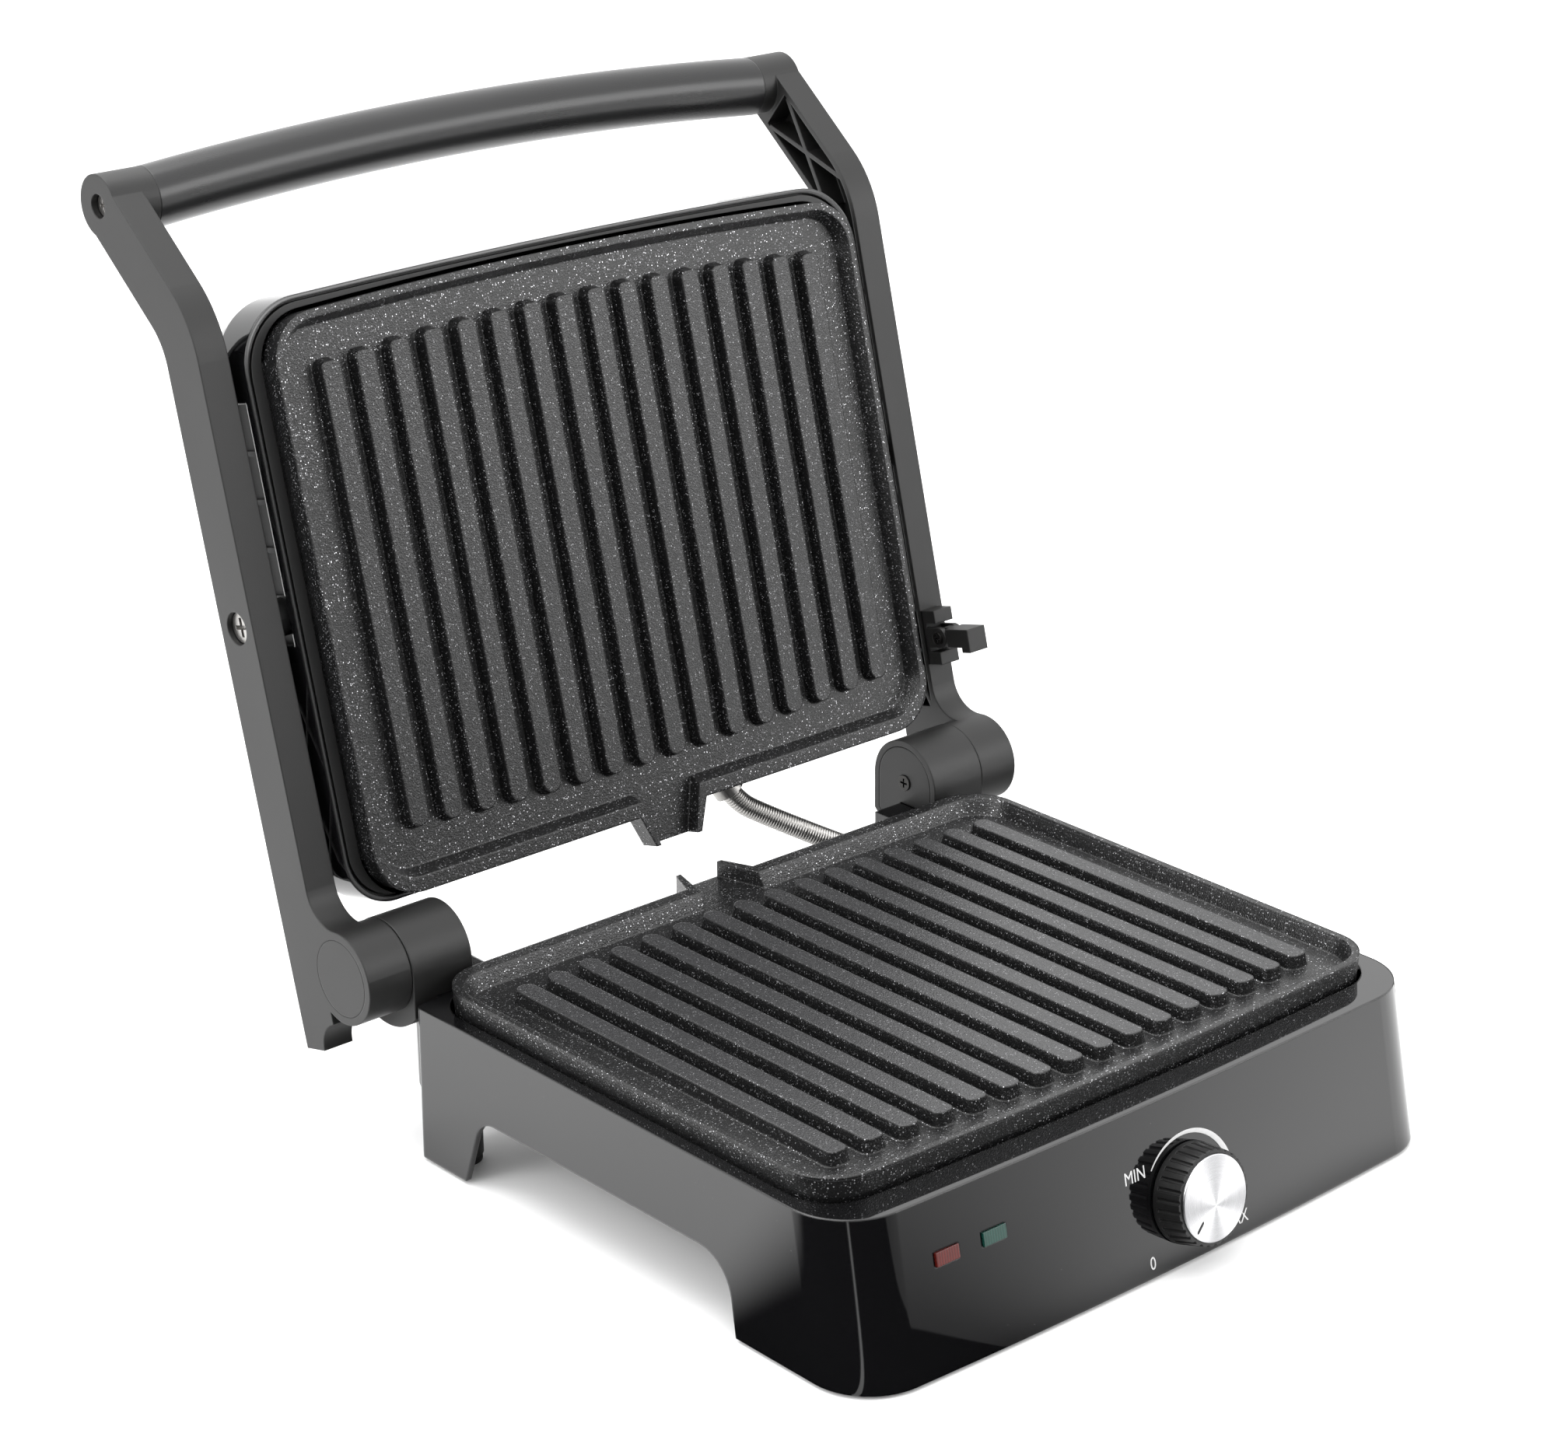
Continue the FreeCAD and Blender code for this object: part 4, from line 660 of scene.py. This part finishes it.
class GRILL_OT_knob(GrillOperator, bpy.types.Operator):
    """Finish the control knob and add its pointer"""
    bl_idname = "grill.knob"
    bl_label = "Finish the knob"

    def make(self, scene):
        paint(in_slot("knob_black"),
              plain_moulding("knob_moulding", (0.006, 0.006, 0.006), 0.30, 0.0005, 0.08))
        paint(in_slot("brushed_cap"), turned_cap())
        flat = np.empty(len(frame["nodes"]["knob_cap"].data.vertices) * 3, np.float32)
        frame["nodes"]["knob_cap"].data.vertices.foreach_get("co", flat)
        face = float(((flat.reshape(-1, 3) - KNOB) @ PANEL_OUT).max())
        turn = math.radians(OFF_ANGLE)
        reach = np.linspace(*POINTER_REACH, 12)[:, None]
        lap = np.linspace(0, 2 * np.pi, 17)[:-1][None, :]
        taper = np.sqrt(np.clip(1 - np.linspace(-1, 1, 12)[:, None] ** 6, 0.02, 1))
        wide = POINTER_HALF_WIDTH * taper * np.cos(lap)
        lift = np.broadcast_to(face + PRINT_THICKNESS * np.sin(lap), wide.shape)
        across = reach * math.cos(turn) - wide * math.sin(turn)
        up = reach * math.sin(turn) + wide * math.cos(turn)
        points = (KNOB + np.multiply.outer(across, [1.0, 0.0, 0.0]) + np.multiply.outer(up, PANEL_UP)
                  + np.multiply.outer(lift, PANEL_OUT))
        pointer = surface("knob_pointer", points, closed_round=True, ends=True)
        finish_piece(pointer, plain_moulding("pointer_paint", (0.008, 0.008, 0.008), 0.35), "knob")


class GRILL_OT_dial(GrillOperator, bpy.types.Operator):
    """Print the sweep and the three labels round the knob"""
    bl_idname = "grill.dial"
    bl_label = "Print the dial"

    def make(self, scene):
        dial = scene.grill_dial
        ink = printed_ink()
        sweep = ribbon("dial_sweep", dial.scale_radius, (dial.scale_thin, dial.scale_thick),
                       *SWEEP_ANGLES, PRINT_THICKNESS)
        finish_piece(sweep, ink, "base")
        for name, words, angle in LABELS:
            printed = label(name, words, dial.label_height, angle, dial.label_radius, PRINT_THICKNESS)
            finish_piece(printed, ink, "base", smooth=False)


class GRILL_OT_conduit(GrillOperator, bpy.types.Operator):
    """Wind the flexible conduit between lid and base"""
    bl_idname = "grill.conduit"
    bl_label = "Wind the conduit"

    def make(self, scene):
        settings = scene.grill_conduit
        route = np.array(CONDUIT_ROUTE)
        line, length = smooth_route(route, CONDUIT_TURNS * settings.samples_per_turn + 1)
        middle = len(line) // 2
        steel = machined_steel(scene.grill_finish, "spring_steel", 1.0, 0.20)
        upper = wound_tube("conduit_upper", line[:middle + 1], 0.0, length / 2, settings)
        lower = wound_tube("conduit_lower", line[middle:], length / 2, length / 2, settings)
        for piece in (upper, lower):
            finish_piece(piece, steel, None)
        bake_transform(lower)
        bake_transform(upper)
        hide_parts("wiring_conduit")


def card_flag(name, middle, sector, height, gray):
    """Card that only reflections see: it lies on the floor over a sector and stands up at the far end.

    Each point is at an azimuth and a distance from the middle; gray turns the azimuth into a tone.
    """
    turn = np.radians(np.linspace(*sector, 49))[None, :]
    reach = np.array([0.03, 0.3, 0.7, CARD_REACH, CARD_REACH, CARD_REACH])[:, None]
    rise = np.array([CARD_LIFT, CARD_LIFT, CARD_LIFT, CARD_LIFT, height / 2, height])[:, None]
    grid = [middle[0] + reach * np.sin(turn), middle[1] - reach * np.cos(turn), rise + 0 * turn]
    flag = surface(name, np.stack(grid, axis=-1))
    cloth = Finish(name, roughness=1.0, specular_ior_level=0.0)
    across, along, _ = cloth.split(cloth.place)
    azimuth = cloth.node("ShaderNodeMath", {"operation": "ARCTAN2"},
                         {0: across - middle[0], 1: middle[1] - along}) * math.degrees(1)
    cloth.set(base_color=cloth.mix(gray(azimuth), (0.002, 0.002, 0.002), (0.90, 0.90, 0.90)))
    flag.data.materials.append(cloth.material)
    flag.visible_camera = False
    flag.visible_diffuse = False
    flag.visible_shadow = False


def front_tones(azimuth):
    """Tone of the front card by azimuth in degrees.

    It darkens at the side, leaves a thin light gap at the corner and lightens to the right.
    """
    gap = (azimuth > -44.5) * (azimuth < -42.5) * 0.8
    return 1 - azimuth.step(-122, -96) + gap + azimuth.step(7.5, 8.5) * 0.16 + azimuth.step(8, 66) * 0.84


class GRILL_OT_stage(GrillOperator, bpy.types.Operator):
    """Set up the floor, soft lights and camera"""
    bl_idname = "grill.stage"
    bl_label = "Set the stage"

    def make(self, scene):
        settings = scene.grill_stage
        edge = np.linspace(-1, 1, 5) * 6.0
        across, along = np.meshgrid(edge, edge, indexing="ij")
        floor = surface("floor", np.stack([across, along, np.zeros_like(across)], axis=-1))
        paper = Finish("floor_paper", roughness=0.6)
        paper.set(base_color=paper.mix(paper.noise(0.4, 2.0), shade(tuple(settings.floor_colour), 0.99),
                                       shade(tuple(settings.floor_colour), 1.01)))
        floor.data.materials.append(paper.material)
        world = bpy.data.worlds.new("surround")
        world.use_nodes = True
        world.node_tree.nodes["Background"].inputs["Color"].default_value = (1, 1, 1, 1)
        world.node_tree.nodes["Background"].inputs["Strength"].default_value = settings.world_level
        scene.world = world
        scene.view_settings.view_transform = "Standard"
        target = Vector((0.0, HINGE[1] - 0.135, 0.12))
        for name, power, place, size in (("key", settings.key_power, (-0.2, 0.5, 1.7), (1.5, 1.1)),
                                         ("side", settings.side_power, (-1.6, 0.1, 0.8), (0.7, 1.2)),
                                         ("front", settings.side_power * 0.8, (1.2, -1.4, 0.9), (0.9, 0.9))):
            lamp = bpy.data.lights.new(name, "AREA")
            lamp.energy = power
            lamp.shape = "RECTANGLE"
            lamp.size, lamp.size_y = size
            stand = bpy.data.objects.new(name, lamp)
            stand.location = place
            stand.rotation_euler = (target - Vector(place)).to_track_quat("-Z", "Y").to_euler()
            scene.collection.objects.link(stand)
        card_flag("front_card", *FRONT_CARD, front_tones)
        card_flag("right_card", *RIGHT_CARD, lambda azimuth: azimuth.step(120, 150) * 0.5)
        shift = HINGE[1] - CAMERA_BACK
        spot = Vector(CAMERA_PLACE) + Vector((0.0, shift, 0.0))
        aim = Vector((0.0, shift, CAMERA_AIM_HEIGHT))
        camera = bpy.data.cameras.new("camera")
        camera.sensor_width = 36.0
        camera.lens = settings.lens
        camera.shift_x, camera.shift_y = CAMERA_SHIFT
        eye = bpy.data.objects.new("camera", camera)
        eye.location = spot
        look = (aim - spot).to_track_quat("-Z", "Y").to_matrix()
        eye.rotation_euler = (look @ Matrix.Rotation(math.radians(CAMERA_ROLL), 3, "Z")).to_euler()
        scene.collection.objects.link(eye)
        scene.camera = eye


# ---------------------------------------------------------------- panel and start
class GRILL_PT_sidebar(bpy.types.Panel):
    """Settings and steps of the grill's finish"""
    bl_label = "Contact grill"
    bl_idname = "GRILL_PT_sidebar"
    bl_space_type = "VIEW_3D"
    bl_region_type = "UI"
    bl_category = "Grill"

    def draw(self, context):
        for group in SETTINGS:
            holder = getattr(context.scene, group)
            box = self.layout.box()
            for key in holder.__annotations__:
                box.prop(holder, key)
        for operator in OPERATORS:
            self.layout.operator(operator.bl_idname)


SETTINGS = {"grill_finish": GrillFinishSettings, "grill_dial": GrillDialSettings,
            "grill_conduit": GrillConduitSettings, "grill_stage": GrillStageSettings}
OPERATORS = (GRILL_OT_stage, GRILL_OT_plates, GRILL_OT_housings, GRILL_OT_arms, GRILL_OT_metal,
             GRILL_OT_lamps, GRILL_OT_knob, GRILL_OT_dial, GRILL_OT_conduit)


def register():
    """Make the settings, operators and panel known."""
    for name, group in SETTINGS.items():
        bpy.utils.register_class(group)
        setattr(bpy.types.Scene, name, PointerProperty(type=group))
    for item in (*OPERATORS, GRILL_PT_sidebar):
        bpy.utils.register_class(item)


def unregister():
    """Take them away again."""
    for item in reversed((*OPERATORS, GRILL_PT_sidebar)):
        bpy.utils.unregister_class(item)
    for name, group in reversed(list(SETTINGS.items())):
        delattr(bpy.types.Scene, name)
        bpy.utils.unregister_class(group)


def main():
    """Register everything and run each step in order."""
    register()
    for operator in OPERATORS:
        family, action = operator.bl_idname.split(".")
        getattr(getattr(bpy.ops, family), action)()


if __name__ == "__main__":
    main()
